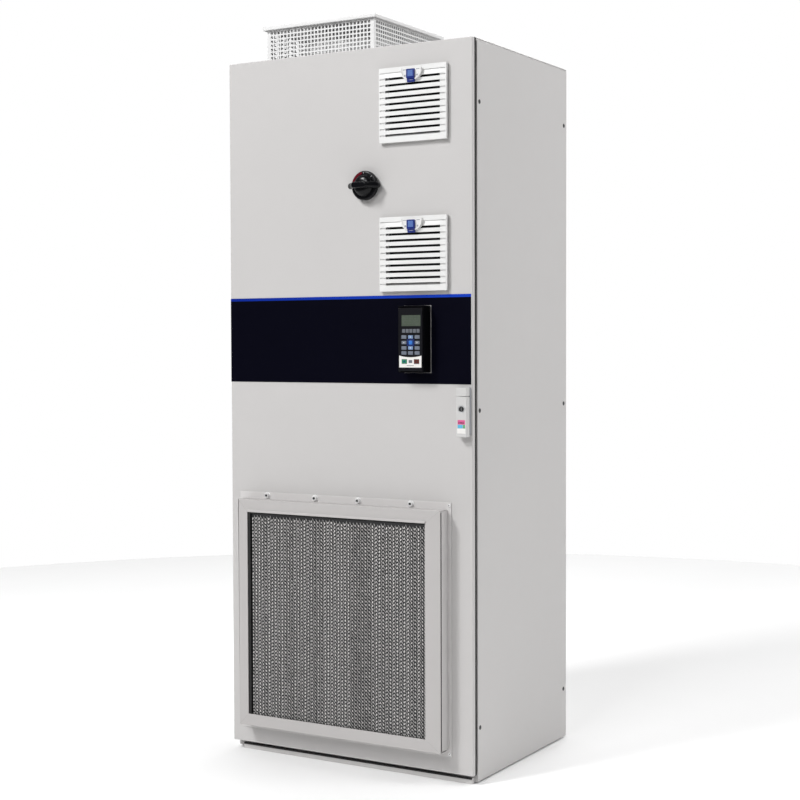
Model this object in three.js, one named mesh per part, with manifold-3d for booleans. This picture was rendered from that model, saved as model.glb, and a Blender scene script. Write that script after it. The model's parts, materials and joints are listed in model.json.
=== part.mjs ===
// Floor-standing drive cabinet: a sheet-steel enclosure with a full-height door, two filter fans,
// a fused isolator, a frequency converter, a line reactor and a roof exhaust.
// Millimetres, +Z up. The origin is on the floor, under the centre of the whole object.
import * as THREE from "three";
import { mergeVertices } from "three/addons/utils/BufferGeometryUtils.js";
import Module from "manifold-3d";

const wasm = await Module();
wasm.setup();

// ---- driving dimensions -------------------------------------------------------------------
const CABINET = { width: 796, depth: 600, height: 2000 };
const REACH = 50; // how far the isolator handle and the intake frame stand out from the door
const HALF = CABINET.width / 2;
const REAR = (CABINET.depth + REACH) / 2; // keeps the bounding box centred on the origin
const FRONT = REAR - CABINET.depth; // outer face of the door
const SHEET = 2; // steel sheet
const GAP = 0.3; // between pieces that touch

const DOOR = { thick: 20, bottom: 25, top: 1998, fold: 18, swingGap: 8 };
const DOOR_REAR = FRONT + DOOR.thick;
const SIDE = { front: DOOR_REAR + DOOR.swingGap, bottom: 4, top: 1996, flange: 16 };
const HINGE = { x: -HALF + 2.7, y: DOOR_REAR + 3.4, radius: 2.7, pin: 1.3, heights: [330, 1690] };
const FRAME = {
  half: HALF - SIDE.flange - 0.5,
  front: SIDE.front + 0.5,
  rear: REAR - SIDE.flange - 0.5,
  baseTop: 60,
  roofBottom: 1940,
  leg: 50,
  wall: 3,
};
const PLATE_FRONT = FRAME.rear - FRAME.wall - GAP - 3; // front face of the mounting plate

const HOOD = { x: -163, y: 36, width: 368, depth: 382, top: 2120, skirt: 11, overhang: 10 };
const FAN_GRILLE = { x: 222, width: 210, height: 202, thick: 10, heights: [1835, 1431.5] };
const ISOLATOR = {
  x: 72,
  z: 1622,
  baseRadius: 33,
  discRadius: 39,
  gripRear: 49,
  gripFront: 23,
  gripHeight: 15,
};
const BAND = { bottom: 1079, top: 1320, right: 394 };
const KEYPAD = { x: 230.5, bottom: 1114, width: 74, height: 170, proud: 41, thick: 25 };
const LOCK = { x: 377, width: 34, bottom: 945, top: 1071, pivotZ: 1047, spindleZ: 1058 };
const INTAKE = {
  left: -340,
  right: 326,
  bottom: 88,
  top: 743,
  opening: { left: -308, right: 279, bottom: 122, top: 707 },
};
const DRIVE = { x: -163, width: 340, bottom: 640, height: 860, depth: 250, cover: 55 };
const REACTOR = { x: 0, width: 380, height: 300, depth: 120, limb: 60, bottom: 92, y: 139 };

// ---- materials ----------------------------------------------------------------------------
const material = (color, roughness, metalness = 0) =>
  new THREE.MeshStandardMaterial({ color, roughness, metalness });
const greyPaint = material("#cbc9c8", 0.5);
const whitePaint = material("#dedede", 0.45);
const zinc = material("#b4b8ba", 0.38, 0.9);
const darkSteel = material("#4b4d50", 0.45, 0.8);
const aluminium = material("#c2c4c6", 0.35, 0.95);
const filterMesh = material("#77777a", 0.4, 0.9);
const copper = material("#8a4a24", 0.4, 0.8);
const laminations = material("#3c3b3a", 0.6, 0.5);
const blackPlastic = material("#111216", 0.4);
const greyPlastic = material("#8e9196", 0.5);
const whitePlastic = material("#e9e9e7", 0.45);
const clipBlue = material("#1e3c96", 0.35);
const bandNavy = material("#0b0c18", 0.3);
const rubber = material("#1b1b1c", 0.85);
const keyGreen = material("#1e7850", 0.45);
const keyRed = material("#7a1a14", 0.45);
const keyGrey = material("#6f7c8c", 0.5);
const keyBlue = material("#1d4fae", 0.4);

// ---- geometry helpers ---------------------------------------------------------------------
// A box between two opposite corners.
function box([x0, y0, z0], [x1, y1, z1]) {
  return new THREE.BoxGeometry(x1 - x0, y1 - y0, z1 - z0)
    .translate((x0 + x1) / 2, (y0 + y1) / 2, (z0 + z1) / 2);
}

// A cylinder along one axis from one end to the other, with an optional second end radius.
function rod(axis, [x, y, z], radius, start, end, sides = 24, endRadius = radius) {
  const made = new THREE.CylinderGeometry(endRadius, radius, end - start, sides)
    .translate(0, (start + end) / 2, 0);
  if (axis === "x") made.rotateZ(-Math.PI / 2);
  if (axis === "z") made.rotateX(Math.PI / 2);
  return made.translate(x, y, z);
}

function solidOf(geometry) {
  if (geometry instanceof wasm.Manifold) return geometry;
  const plain = geometry.clone();
  plain.deleteAttribute("normal");
  plain.deleteAttribute("uv");
  const merged = mergeVertices(plain, 1e-4);
  return new wasm.Manifold(
    new wasm.Mesh({
      numProp: 3,
      vertProperties: merged.attributes.position.array,
      triVerts: new Uint32Array(merged.index.array),
    }),
  );
}
const join = (...pieces) => pieces.map(solidOf).reduce((a, b) => a.add(b));
const cut = (from, ...tools) => tools.map(solidOf).reduce((a, b) => a.subtract(b), solidOf(from));

function geometryOf(solid) {
  const { vertProperties, triVerts } = solid.getMesh();
  return new THREE.BufferGeometry()
    .setAttribute("position", new THREE.BufferAttribute(vertProperties, 3))
    .setIndex(new THREE.BufferAttribute(triVerts, 1));
}

// Adds a named piece to a group. The shape is a geometry or a solid.
function add(group, name, shape, look) {
  const geometry = shape instanceof wasm.Manifold ? geometryOf(shape) : shape;
  const mesh = new THREE.Mesh(geometry, look);
  mesh.name = name;
  group.add(mesh);
}

// A box with a box-shaped hole right through it along one axis.
function ring(low, high, wall, axis) {
  const inLow = low.map((v, i) => (i === axis ? v - 1 : v + wall));
  const inHigh = high.map((v, i) => (i === axis ? v + 1 : v - wall));
  return cut(box(low, high), box(inLow, inHigh));
}

// A sheet with folded edges: a box hollowed from one side. side is the axis index and its open end.
function tray(low, high, wall, axis, openHigh) {
  const inLow = low.map((v) => v + wall);
  const inHigh = high.map((v) => v - wall);
  if (openHigh) inHigh[axis] = high[axis] + 1;
  else inLow[axis] = low[axis] - 1;
  return cut(box(low, high), box(inLow, inHigh));
}

// ---- cabinet frame and panels -------------------------------------------------------------
function baseFrame(group) {
  const { half, front, rear, baseTop, wall, leg } = FRAME;
  const skirt = ring([-half, front, 0], [half, rear, baseTop], wall, 2);
  const flange = ring([-half, front, baseTop - wall], [half, rear, baseTop], leg - 10, 2);
  const foot = ring([-half, front, 0], [half, rear, wall], leg - 10, 2);
  const bolts = [-1, 1].flatMap((sx) => [front + 22, rear - 22].map((y) =>
    rod("z", [sx * (half - 22), y, 0], 7, -1, wall + 1, 12)));
  const sill = box([-half + 8, front - 14, 0], [half + 6, SIDE.front - GAP, DOOR.bottom - 9]);
  const sillRoot = box([-half + 8, front - 2, 0], [half - 8, front + 1, DOOR.bottom - 9]);
  add(group, "base_frame", cut(join(skirt, flange, foot, sill, sillRoot), ...bolts), greyPaint);
}

function roofFrame(group) {
  const { half, front, rear, roofBottom, wall, leg } = FRAME;
  const top = CABINET.height - SHEET - GAP;
  const skirt = ring([-half, front, roofBottom], [half, rear, top], wall, 2);
  const flange = ring([-half, front, top - wall], [half, rear, top], leg - 10, 2);
  add(group, "roof_frame", join(skirt, flange), greyPaint);
}

// The corner posts are angle sections, open towards the middle of the cabinet.
function uprights(group) {
  const { half, front, rear, baseTop, roofBottom, leg, wall } = FRAME;
  const z0 = baseTop + GAP;
  const z1 = roofBottom - GAP;
  for (const [side, sx] of [["left", -1], ["right", 1]])
    for (const [end, y, sy] of [["front", front, 1], ["rear", rear, -1]]) {
      const xs = (a, b) => [sx * (half - a), sx * (half - b)].sort((p, q) => p - q);
      const ys = (a, b) => [y + sy * a, y + sy * b].sort((p, q) => p - q);
      const across = box([xs(0, leg)[0], ys(0, wall)[0], z0], [xs(0, leg)[1], ys(0, wall)[1], z1]);
      const along = box([xs(0, wall)[0], ys(0, leg)[0], z0], [xs(0, wall)[1], ys(0, leg)[1], z1]);
      add(group, `upright_${end}_${side}`, join(across, along), greyPaint);
    }
}

function panels(group) {
  const { front, bottom, top, flange } = SIDE;
  add(group, "left_side_panel",
    tray([-HALF, front, bottom], [-HALF + flange, REAR, top], SHEET, 0, true), greyPaint);
  add(group, "right_side_panel",
    tray([HALF - flange, front, bottom], [HALF, REAR, top], SHEET, 0, false), greyPaint);
  const rearHalf = HALF - flange - 1;
  add(group, "rear_panel",
    tray([-rearHalf, REAR - flange, bottom], [rearHalf, REAR, top], SHEET, 1, false), greyPaint);

  // The roof sheet has a lip that hangs over the sides and the rear, and none over the door.
  const lip = cut(ring([-HALF, front, top + GAP], [HALF, REAR, CABINET.height], SHEET, 2),
    box([-HALF + SHEET, front - 1, top], [HALF - SHEET, front + SHEET + 1, CABINET.height - SHEET]));
  const roof = box([-HALF, front, CABINET.height - SHEET], [HALF, REAR, CABINET.height]);
  const exhaust = rod("z", [HOOD.x, HOOD.y, 0], 150, 1990, 2010, 40);
  add(group, "roof_panel", cut(join(lip, roof), exhaust), greyPaint);

  // The gland plate closes the floor and has one large cable entry in front of the reactor.
  const plate = box([-325, -196, FRAME.baseTop + GAP], [325, 257, FRAME.baseTop + GAP + SHEET]);
  const entry = box([60, -161, 50], [300, -71, 70]);
  add(group, "gland_plate", cut(plate, entry), zinc);
  add(group, "mounting_plate",
    box([-365, PLATE_FRONT, 90], [365, PLATE_FRONT + 3, 1915]), zinc);
}

// ---- roof exhaust -------------------------------------------------------------------------
// Blades around a hub, turned about the Z axis, centred on the origin.
function impeller(hubRadius, tipRadius, height, count, pitch) {
  const hub = rod("z", [0, 0, 0], hubRadius, 0, height, 24);
  const blades = Array.from({ length: count }, (_, i) =>
    new THREE.BoxGeometry(tipRadius - hubRadius + 4, hubRadius * 0.75, 2.4)
      .rotateX(pitch)
      .translate((tipRadius + hubRadius) / 2 - 2, 0, height / 2)
      .rotateZ((i * 2 * Math.PI) / count));
  return join(hub, ...blades);
}

// A ring on a square flange, with four struts that hold a round motor below the impeller.
function fanHousing({ flange, flangeThick, radius, wall, height, hubRadius, hubHeight }) {
  const plate = box([-flange / 2, -flange / 2, 0], [flange / 2, flange / 2, flangeThick]);
  const tube = rod("z", [0, 0, 0], radius + wall, 0, height, 40);
  const bore = rod("z", [0, 0, 0], radius, -1, height + 1, 40);
  const motor = rod("z", [0, 0, 0], hubRadius, 0, hubHeight, 24);
  const strut = box([-radius - wall / 2, -6, 0], [radius + wall / 2, 6, flangeThick]);
  const crossStrut = box([-6, -radius - wall / 2, 0], [6, radius + wall / 2, flangeThick]);
  return join(cut(join(plate, tube), bore), motor, strut, crossStrut);
}

function roofExhaust(group) {
  const hood = new THREE.Group();
  hood.position.set(HOOD.x, HOOD.y, CABINET.height);
  const [hx, hy] = [HOOD.width / 2, HOOD.depth / 2];
  const lidZ = HOOD.top - CABINET.height;
  const walls = ring([-hx, -hy, GAP], [hx, hy, lidZ - SHEET - GAP], SHEET, 2);
  const foot = ring([-hx - 9, -hy - 9, GAP], [hx + 9, hy + 9, GAP + SHEET], 11, 2);
  add(hood, "hood_cage", join(walls, foot), whitePaint);
  const over = HOOD.overhang;
  add(hood, "hood_lid",
    tray([-hx - over, -hy - over, lidZ - HOOD.skirt], [hx + over, hy + over, lidZ], SHEET, 2, false),
    whitePaint);

  const fan = new THREE.Group();
  fan.position.z = GAP;
  add(fan, "exhaust_fan_housing", fanHousing({
    flange: 330, flangeThick: 4, radius: 148, wall: 3, height: 72, hubRadius: 52, hubHeight: 26,
  }), whitePaint);
  const blades = new THREE.Group();
  blades.position.z = 27;
  add(blades, "exhaust_fan_impeller", impeller(50, 140, 36, 7, 0.55), blackPlastic);
  fan.add(blades);
  hood.add(fan);
  group.add(hood);
}

// ---- power parts on the mounting plate ----------------------------------------------------
function driveModule(group) {
  const { x, width, bottom, height, depth, cover } = DRIVE;
  const [x0, x1] = [x - width / 2, x + width / 2];
  const [back, front] = [PLATE_FRONT - GAP, PLATE_FRONT - GAP - depth];
  const top = bottom + height;

  // The chassis is a tray, open to the front, with air slots at the bottom and the top.
  const shell = tray([x0, front, bottom], [x1, back, top], 3, 1, false);
  const airSlot = box([x0 + 20, back - 90, bottom - 5], [x1 - 20, back - 10, top + 5]);
  add(group, "drive_chassis", cut(shell, airSlot), zinc);

  // The heatsink is a base plate with fins that point to the back.
  const fins = 14;
  const [h0, h1] = [x0 + 22, x1 - 22];
  const step = (h1 - h0 - 4) / (fins - 1);
  const base = box([h0, back - 110, bottom + 30], [h1, back - 96, top - 30]);
  const finned = Array.from({ length: fins }, (_, i) =>
    box([h0 + i * step, back - 97, bottom + 30], [h0 + i * step + 4, back - 14, top - 30]));
  add(group, "heatsink", join(base, ...finned), aluminium);

  // The capacitors stand on a carrier board in front of the heatsink.
  const board = box([h0 + 10, back - 116, bottom + 60], [h1 - 10, back - 112, bottom + 420]);
  const cans = [];
  for (const column of [-90, 0, 90])
    for (const row of [120, 240, 360])
      cans.push(rod("y", [x + column, 0, bottom + row], 34, back - 215, back - 114, 20));
  add(group, "capacitor_bank", join(board, ...cans), blackPlastic);

  add(group, "drive_cover",
    tray([x0, front - GAP - cover, bottom], [x1, front - GAP, top], 2.5, 1, true), greyPlastic);
}

function lineReactor(group) {
  const { x, width, height, depth, limb, bottom, y } = REACTOR;
  const window = (width - 3 * limb) / 2;
  const outer = box([x - width / 2, y, bottom + 20], [x + width / 2, y + depth, bottom + 20 + height]);
  const windows = [-1, 1].map((side) => {
    const middle = x + (side * (limb + window)) / 2;
    return box([middle - window / 2, y - 1, bottom + 20 + limb],
      [middle + window / 2, y + depth + 1, bottom + 20 + height - limb]);
  });
  const feet = [-1, 1].map((side) =>
    box([x - width / 2 - 20, y + depth / 2 + side * 40 - 15, FRAME.baseTop + GAP + SHEET + GAP],
      [x + width / 2 + 20, y + depth / 2 + side * 40 + 15, bottom + 21]));
  add(group, "reactor_core", join(cut(outer, ...windows), ...feet), laminations);

  // Three coils, one round each limb, held together by a front terminal strip.
  const z0 = bottom + 20 + limb + 8;
  const z1 = bottom + 20 + height - limb - 8;
  const coil = (middle) => cut(
    box([middle - limb / 2 - 24, y - 28, z0], [middle + limb / 2 + 24, y + depth + 28, z1]),
    box([middle - limb / 2 - 3, y - 3, z0 - 1], [middle + limb / 2 + 3, y + depth + 3, z1 + 1]));
  const strip = box([x - width / 2, y - 40, z1 - 36], [x + width / 2, y - 27, z1 - 8]);
  const pitch = limb + window;
  add(group, "reactor_coils", join(...[-pitch, 0, pitch].map((dx) => coil(x + dx)), strip), copper);
}

function terminals(group) {
  const [z0, z1] = [470, 530];
  const rail = box([70, PLATE_FRONT - 12, z0 + 12], [340, PLATE_FRONT - GAP, z1 - 12]);
  const blocks = Array.from({ length: 12 }, (_, i) =>
    box([80 + i * 21, PLATE_FRONT - 55, z0], [80 + i * 21 + 18, PLATE_FRONT - 10, z1]));
  add(group, "terminal_block", join(rail, ...blocks), greyPlastic);
}

function isolator(group) {
  const { x, z } = ISOLATOR;
  const [front, back] = [PLATE_FRONT - 130, PLATE_FRONT - GAP];
  const body = box([x - 95, front, z - 85], [x + 95, back, z + 85]);
  const boss = rod("y", [x, 0, z], 22, front - 12, front + 1);
  const socket = rod("y", [x, 0, z], 7, front - 13, front + 8);
  // Barriers between the three poles, above and below.
  const barriers = [];
  for (const dx of [-95, -33, 29, 91])
    for (const [z0, z1] of [[z - 120, z - 84], [z + 84, z + 120]])
      barriers.push(box([x + dx, front + 30, z0], [x + dx + 4, back, z1]));
  add(group, "isolator_body", cut(join(body, boss, ...barriers), socket), blackPlastic);
  add(group, "isolator_shaft",
    rod("y", [x, 0, z], 5, FRONT - 9, front + 7.5, 16), zinc);
}

// ---- door ---------------------------------------------------------------------------------
function doorShell(group) {
  const low = [-HALF, FRONT, DOOR.bottom];
  const high = [HALF, DOOR_REAR, DOOR.top];
  const [y0, y1] = [FRONT - 1, FRONT + SHEET + 1];
  const { opening } = INTAKE;
  const fanHoles = FAN_GRILLE.heights.map((z) =>
    box([FAN_GRILLE.x - 86, y0, z - 86], [FAN_GRILLE.x + 86, y1, z + 86]));
  const intakeHole = box([opening.left + 6, y0, opening.bottom + 6],
    [opening.right - 6, y1, opening.top - 6]);
  const keypadHole = box([KEYPAD.x - 37, y0, KEYPAD.bottom + 2],
    [KEYPAD.x + 37, y1, KEYPAD.bottom + KEYPAD.height - 2]);
  const isolatorHole = rod("y", [ISOLATOR.x, 0, ISOLATOR.z], 20, y0, y1);
  const lockHole = rod("y", [LOCK.x, 0, LOCK.spindleZ], 11, y0, y1);
  add(group, "door_panel",
    cut(tray(low, high, SHEET, 1, true), ...fanHoles, intakeHole, keypadHole, isolatorHole, lockHole),
    greyPaint);

  // The welded stiffening frame carries the gasket that seals against the cabinet's front edge.
  const inner = FRONT + SHEET + GAP;
  add(group, "door_frame",
    ring([-366, inner, DOOR.bottom + 34], [366, DOOR_REAR - 2, DOOR.top - 34], 24, 1), zinc);
  add(group, "door_gasket",
    ring([-360, DOOR_REAR - 2 + GAP, DOOR.bottom + 40], [360, FRAME.front - 0.5, DOOR.top - 40], 14, 1),
    rubber);

  // The printed band is a film on the door face, cut out round the keypad.
  const film = box([-HALF + GAP, FRONT - 0.8, BAND.bottom], [BAND.right, FRONT - GAP, BAND.top]);
  const keypadGap = box([KEYPAD.x - 42, FRONT - 2, KEYPAD.bottom - 5.5],
    [KEYPAD.x + 42, FRONT + 1, KEYPAD.bottom + KEYPAD.height + 7.5]);
  add(group, "name_band", cut(film, keypadGap), bandNavy);
}

// Each hinge has a bracket with a pin on the front post and a leaf with a knuckle on the door.
function hinges(cabinet, door) {
  HINGE.heights.forEach((z, i) => {
    const name = ["lower", "upper"][i];
    const { x, y, radius, pin } = HINGE;
    const bracketFront = SIDE.front - GAP - 2.4;
    const strap = box([x, bracketFront, z - 40], [-362, SIDE.front - GAP, z - 2]);
    const eye = rod("z", [x, y, 0], radius, z - 40, z - 2, 16);
    const pinRod = rod("z", [x, y, 0], pin, z - 3, z + 34, 12);
    add(cabinet, `hinge_bracket_${name}`, join(strap, eye, pinRod), zinc);

    const leaf = box([x, DOOR_REAR + GAP, z], [x + 20, DOOR_REAR + GAP + 2, z + 40]);
    const arm = box([x + 4, FRONT + SHEET + GAP, z], [x + 6.5, DOOR_REAR + GAP + 1, z + 40]);
    const knuckle = rod("z", [x, y, 0], radius, z, z + 40, 16);
    const hole = rod("z", [x, y, 0], pin + 0.4, z - 1, z + 36, 12);
    add(door, `hinge_leaf_${name}`, cut(join(leaf, arm, knuckle), hole), zinc);
  });
}

// A filter fan in its own group: X to the right, Y into the cabinet, Z up, origin on the door face.
function filterFan(door, level, z) {
  const { x, width, height, thick } = FAN_GRILLE;
  const fan = new THREE.Group();
  fan.position.set(x, FRONT, z);
  const [hw, hh] = [width / 2, height / 2];

  // The housing clips into the door, and the fan is bolted to its inner end.
  const flange = box([-hw + 4, -3, -hh + 3], [hw - 4, -GAP, hh - 3]);
  const body = box([-84, -1, -84], [84, 40, 84]);
  const duct = box([-80, -4, -80], [80, 30, 80]);
  const barrel = fanHousing({
    flange: 130, flangeThick: 3, radius: 56, wall: 3, height: 36, hubRadius: 22, hubHeight: 12,
  }).rotate([90, 0, 0]).translate([0, 75.5, 0]);
  const throat = rod("y", [0, 0, 0], 56, 29, 41, 40);
  add(fan, `${level}_fan_housing`, join(cut(join(flange, body), duct, throat), barrel), whitePlastic);

  const blades = impeller(22, 52, 18, 5, 0.6).rotate([90, 0, 0]).translate([0, 62, 0]);
  add(fan, `${level}_fan_impeller`, blades, blackPlastic);

  // The grille: a shallow cover with a row of open slots between its louvres.
  const [y0, y1] = [-3.4 - thick, -3.4];
  const cover = box([-hw, y0, -hh], [hw, y1, hh]);
  const hollow = box([-hw + 4, y0 + 3, -hh + 4], [hw - 4, y1 + 1, hh - 4]);
  const slots = Array.from({ length: 10 }, (_, i) =>
    box([-85, y0 - 1, hh - 33.5 - i * 16.9], [85, y0 + 4, hh - 27.5 - i * 16.9]));
  // A half-round boss at the top centre carries the latch.
  const boss = cut(rod("y", [0, 0, hh - 6], 30, y0 - 6, y0 + 3.5, 32),
    box([-40, y0 - 8, hh - 6], [40, y1, hh + 40]));
  const seat = box([-12.5, y0 - 8, hh - 46], [12.5, y0 + 4.5, hh - 8.5]);
  const louvred = join(cut(cover, hollow, ...slots), boss);
  add(fan, `${level}_grille`, cut(louvred, seat), whitePlastic);
  const latch = join(
    box([-12, y0 - 11, hh - 35], [12, y0 + 2, hh - 10.5]),
    box([-12, y0 - 6, hh - 45], [12, y0 - 2, hh - 34]));
  add(fan, `${level}_grille_clip`, latch, clipBlue);
  door.add(fan);
}

// The isolator handle: a base, a wider disc, a hub and a grip that narrows towards the front.
function isolatorHandle(door) {
  const { baseRadius, discRadius, gripRear, gripFront, gripHeight } = ISOLATOR;
  const handle = new THREE.Group();
  handle.position.set(ISOLATOR.x, FRONT, ISOLATOR.z);
  const base = rod("y", [0, 0, 0], baseRadius, -9, -1, 40);
  const disc = rod("y", [0, 0, 0], discRadius, -20, -8, 40);
  const hub = rod("y", [0, 0, 0], 22, -34, -19, 32, 29);
  const outline = [[-gripRear, -9], [-gripRear, -23], [-gripFront, -REACH],
    [gripFront, -REACH], [gripRear, -23], [gripRear, -9]];
  const grip = new THREE.ExtrudeGeometry(
    new THREE.Shape(outline.map(([x, y]) => new THREE.Vector2(x, y))),
    { depth: gripHeight, bevelEnabled: false },
  ).translate(0, 0, -gripHeight / 2);
  const socket = rod("y", [0, 0, 0], 7.5, -14, 0, 16);
  add(handle, "isolator_handle", cut(join(base, disc, hub, grip), socket), blackPlastic);
  door.add(handle);
}

// The swing handle lifts about its top end, then turns and draws both lock rods in.
function lock(door) {
  const { x, width, bottom, top, pivotZ, spindleZ } = LOCK;
  const half = width / 2;
  const inner = FRONT + SHEET + GAP;
  const plate = box([x - half, FRONT - 6, bottom], [x + half, FRONT - GAP, top]);
  const neck = rod("y", [x, 0, spindleZ], 9.5, FRONT - 1, inner + 1);
  const gearbox = box([x - 8, inner, spindleZ - 26], [x + 14, FRONT + 14, spindleZ + 26]);
  const bore = rod("y", [x, 0, spindleZ], 6, FRONT - 7, FRONT + 15, 16);
  add(door, "lock_base", cut(join(plate, neck, gearbox), bore), greyPlastic);

  const [face, seat] = [FRONT - 25, FRONT - 6 - GAP];
  const head = box([x - half + 1, face, pivotZ + 1], [x + half - 1, seat, top]);
  const shaft = rod("y", [x, 0, spindleZ], 5, seat - 1, FRONT + 13.7, 16);
  add(door, "handle_spindle", join(head, shaft), greyPaint);

  const lever = box([x - half + 1, face, bottom - 6], [x + half - 1, seat, pivotZ]);
  const cylinderHole = rod("y", [x, 0, 1014], 7.4, face - 1, face + 14);
  add(door, "handle_lever", cut(lever, cylinderHole), greyPaint);
  add(door, "lock_cylinder",
    cut(
      rod("y", [x, 0, 1014], 7, face - 1, face + 13.5),
      box([x - 1, face - 2, 1009], [x + 1, face + 3, 1019])),
    darkSteel);

  const [rodY0, rodY1] = [DOOR_REAR - 5.6, DOOR_REAR - 2.6];
  add(door, "lock_rod_upper",
    box([x - 4, rodY0, spindleZ + 24], [x + 12, rodY1, DOOR.top - 16]), zinc);
  add(door, "lock_rod_lower",
    box([x - 4, rodY0, DOOR.bottom + 26], [x + 12, rodY1, spindleZ - 24]), zinc);
}

// The intake housing stands on the lower door; the filter slides out through its right side.
function intake(door) {
  const { left, right, bottom, top, opening } = INTAKE;
  const slot = { front: FRONT - REACH + SHEET + GAP, back: FRONT - 41 };
  const wall = 5;
  const walls = ring([left + 3, slot.back + GAP, bottom + 3], [right - 3, FRONT - GAP, top - 3], wall, 1);
  const flange = cut(
    box([left - 26, FRONT - 3, bottom - 18], [right + 8, FRONT - GAP, top + 18]),
    box([left + 8, FRONT - 4, bottom + 8], [right - 8, FRONT + 1, top - 8]));
  add(door, "intake_housing", join(walls, flange), greyPaint);

  // The front frame wraps round the housing at the top, the bottom and the left.
  const face = cut(
    box([left, FRONT - REACH, bottom], [right, FRONT - REACH + SHEET, top]),
    box([opening.left, FRONT - REACH - 1, opening.bottom],
      [opening.right, FRONT - REACH + 3, opening.top]));
  const wraps = [
    box([left, FRONT - REACH, bottom], [left + SHEET, FRONT - 12, top]),
    box([left, FRONT - REACH, bottom], [right, FRONT - 12, bottom + SHEET]),
    box([left, FRONT - REACH, top - SHEET], [right, FRONT - 12, top]),
  ];
  add(door, "intake_bezel", join(face, ...wraps), greyPaint);

  // The filter: an aluminium channel frame round a pleated mesh pad.
  const border = 12;
  const [f0, f1] = [[left + 6, slot.front, bottom + 6], [right - 1, slot.back, top - 6]];
  const frontPocket = box([f0[0] + border, f0[1] - 1, f0[2] + border],
    [f1[0] - border, f0[1] + 2.5, f1[2] - border]);
  add(door, "intake_filter", cut(box(f0, f1), frontPocket), filterMesh);
}

// The keypad sits in a cradle through the door and pulls straight out.
function keypad(door) {
  const { x, bottom, width, height, proud, thick } = KEYPAD;
  const pad = new THREE.Group();
  pad.position.set(x, FRONT, bottom);
  const half = width / 2;
  const bezel = box([-half - 3.5, -proud + 4, -4], [half + 3.5, -GAP, height + 6]);
  const neck = box([-half + 1, -1, 3], [half - 1, 16, height - 3]);
  const pocket = box([-half - 0.6, -proud, -0.6], [half + 0.6, -proud + thick + 1, height + 0.6]);
  add(pad, "keypad_cradle", cut(join(bezel, neck), pocket), blackPlastic);

  const face = -proud;
  const keys = [
    ["start_key", -18.5, 26, 15, 11, keyGreen],
    ["stop_key", 19.5, 26, 15, 11, keyRed],
    ["enter_key", 1, 77, 12, 11, keyBlue],
    ["up_key", 1, 92, 15, 9, keyGrey],
    ["down_key", 1, 62.5, 15, 9, keyGrey],
    ["left_key", -19.5, 77, 15, 9, keyGrey],
    ["right_key", 21.5, 77, 15, 9, keyGrey],
  ];
  const seats = keys.map(([, kx, kz, w, h]) =>
    box([kx - w / 2 - 0.35, face - 1, kz - h / 2 - 0.35], [kx + w / 2 + 0.35, face + 4, kz + h / 2 + 0.35]));
  add(pad, "keypad_body",
    cut(box([-half, face, 0], [half, face + thick, height]), ...seats), blackPlastic);
  for (const [name, kx, kz, w, h, look] of keys)
    add(pad, name,
      box([kx - w / 2, face - 1.4, kz - h / 2], [kx + w / 2, face + 2.6, kz + h / 2]), look);
  door.add(pad);
}

// ---- the whole object ---------------------------------------------------------------------
const driveCabinet = new THREE.Group();
driveCabinet.name = "drive_cabinet";
const cabinet = new THREE.Group();
baseFrame(cabinet);
roofFrame(cabinet);
uprights(cabinet);
panels(cabinet);
roofExhaust(cabinet);
driveModule(cabinet);
lineReactor(cabinet);
terminals(cabinet);
isolator(cabinet);

const door = new THREE.Group();
doorShell(door);
hinges(cabinet, door);
FAN_GRILLE.heights.forEach((z, i) => filterFan(door, ["upper", "lower"][i], z));
isolatorHandle(door);
lock(door);
intake(door);
keypad(door);
driveCabinet.add(cabinet, door);

export default driveCabinet;
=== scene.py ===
import json
import math
import random

import bmesh
import bpy
from mathutils import Matrix, Vector


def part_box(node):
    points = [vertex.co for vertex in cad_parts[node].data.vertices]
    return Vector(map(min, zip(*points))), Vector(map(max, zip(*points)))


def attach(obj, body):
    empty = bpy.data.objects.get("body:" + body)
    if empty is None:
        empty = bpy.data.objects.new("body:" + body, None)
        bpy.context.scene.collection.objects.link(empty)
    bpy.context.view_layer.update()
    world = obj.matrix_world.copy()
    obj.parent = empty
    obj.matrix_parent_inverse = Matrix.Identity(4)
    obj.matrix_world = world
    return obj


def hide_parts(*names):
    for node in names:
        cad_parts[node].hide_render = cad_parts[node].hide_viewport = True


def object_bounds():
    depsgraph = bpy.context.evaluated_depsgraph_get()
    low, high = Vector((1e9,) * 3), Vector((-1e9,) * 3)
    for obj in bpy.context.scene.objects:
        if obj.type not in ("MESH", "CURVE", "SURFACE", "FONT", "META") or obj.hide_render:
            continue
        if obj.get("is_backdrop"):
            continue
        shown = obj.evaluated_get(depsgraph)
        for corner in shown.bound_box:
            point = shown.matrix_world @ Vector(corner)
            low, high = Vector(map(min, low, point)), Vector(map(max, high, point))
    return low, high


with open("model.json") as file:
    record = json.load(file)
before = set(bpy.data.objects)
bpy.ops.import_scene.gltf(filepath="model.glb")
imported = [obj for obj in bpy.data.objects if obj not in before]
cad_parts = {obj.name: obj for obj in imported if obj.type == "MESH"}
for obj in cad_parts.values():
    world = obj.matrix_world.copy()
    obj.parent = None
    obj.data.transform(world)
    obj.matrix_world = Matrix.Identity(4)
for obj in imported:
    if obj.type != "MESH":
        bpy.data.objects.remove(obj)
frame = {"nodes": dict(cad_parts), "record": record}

cadLow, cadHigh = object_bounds()
record = frame["record"]
nodes = frame["nodes"]
bodyOf = {node: body for body, names in record["behaviour"]["bodies"].items() for node in names}
slotOf = {part["node"]: part["material_slot"] for part in record["subparts"]}
mm = 0.001


def span(node):  # lowest and highest corner of a node, in millimetres
    low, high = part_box(node)
    return low * 1000, high * 1000


def middle(node):  # where its centre lies as seen from the front
    low, high = span(node)
    return (low.x + high.x) / 2, (low.z + high.z) / 2


doorFace = span("door_panel")[0].y


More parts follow.
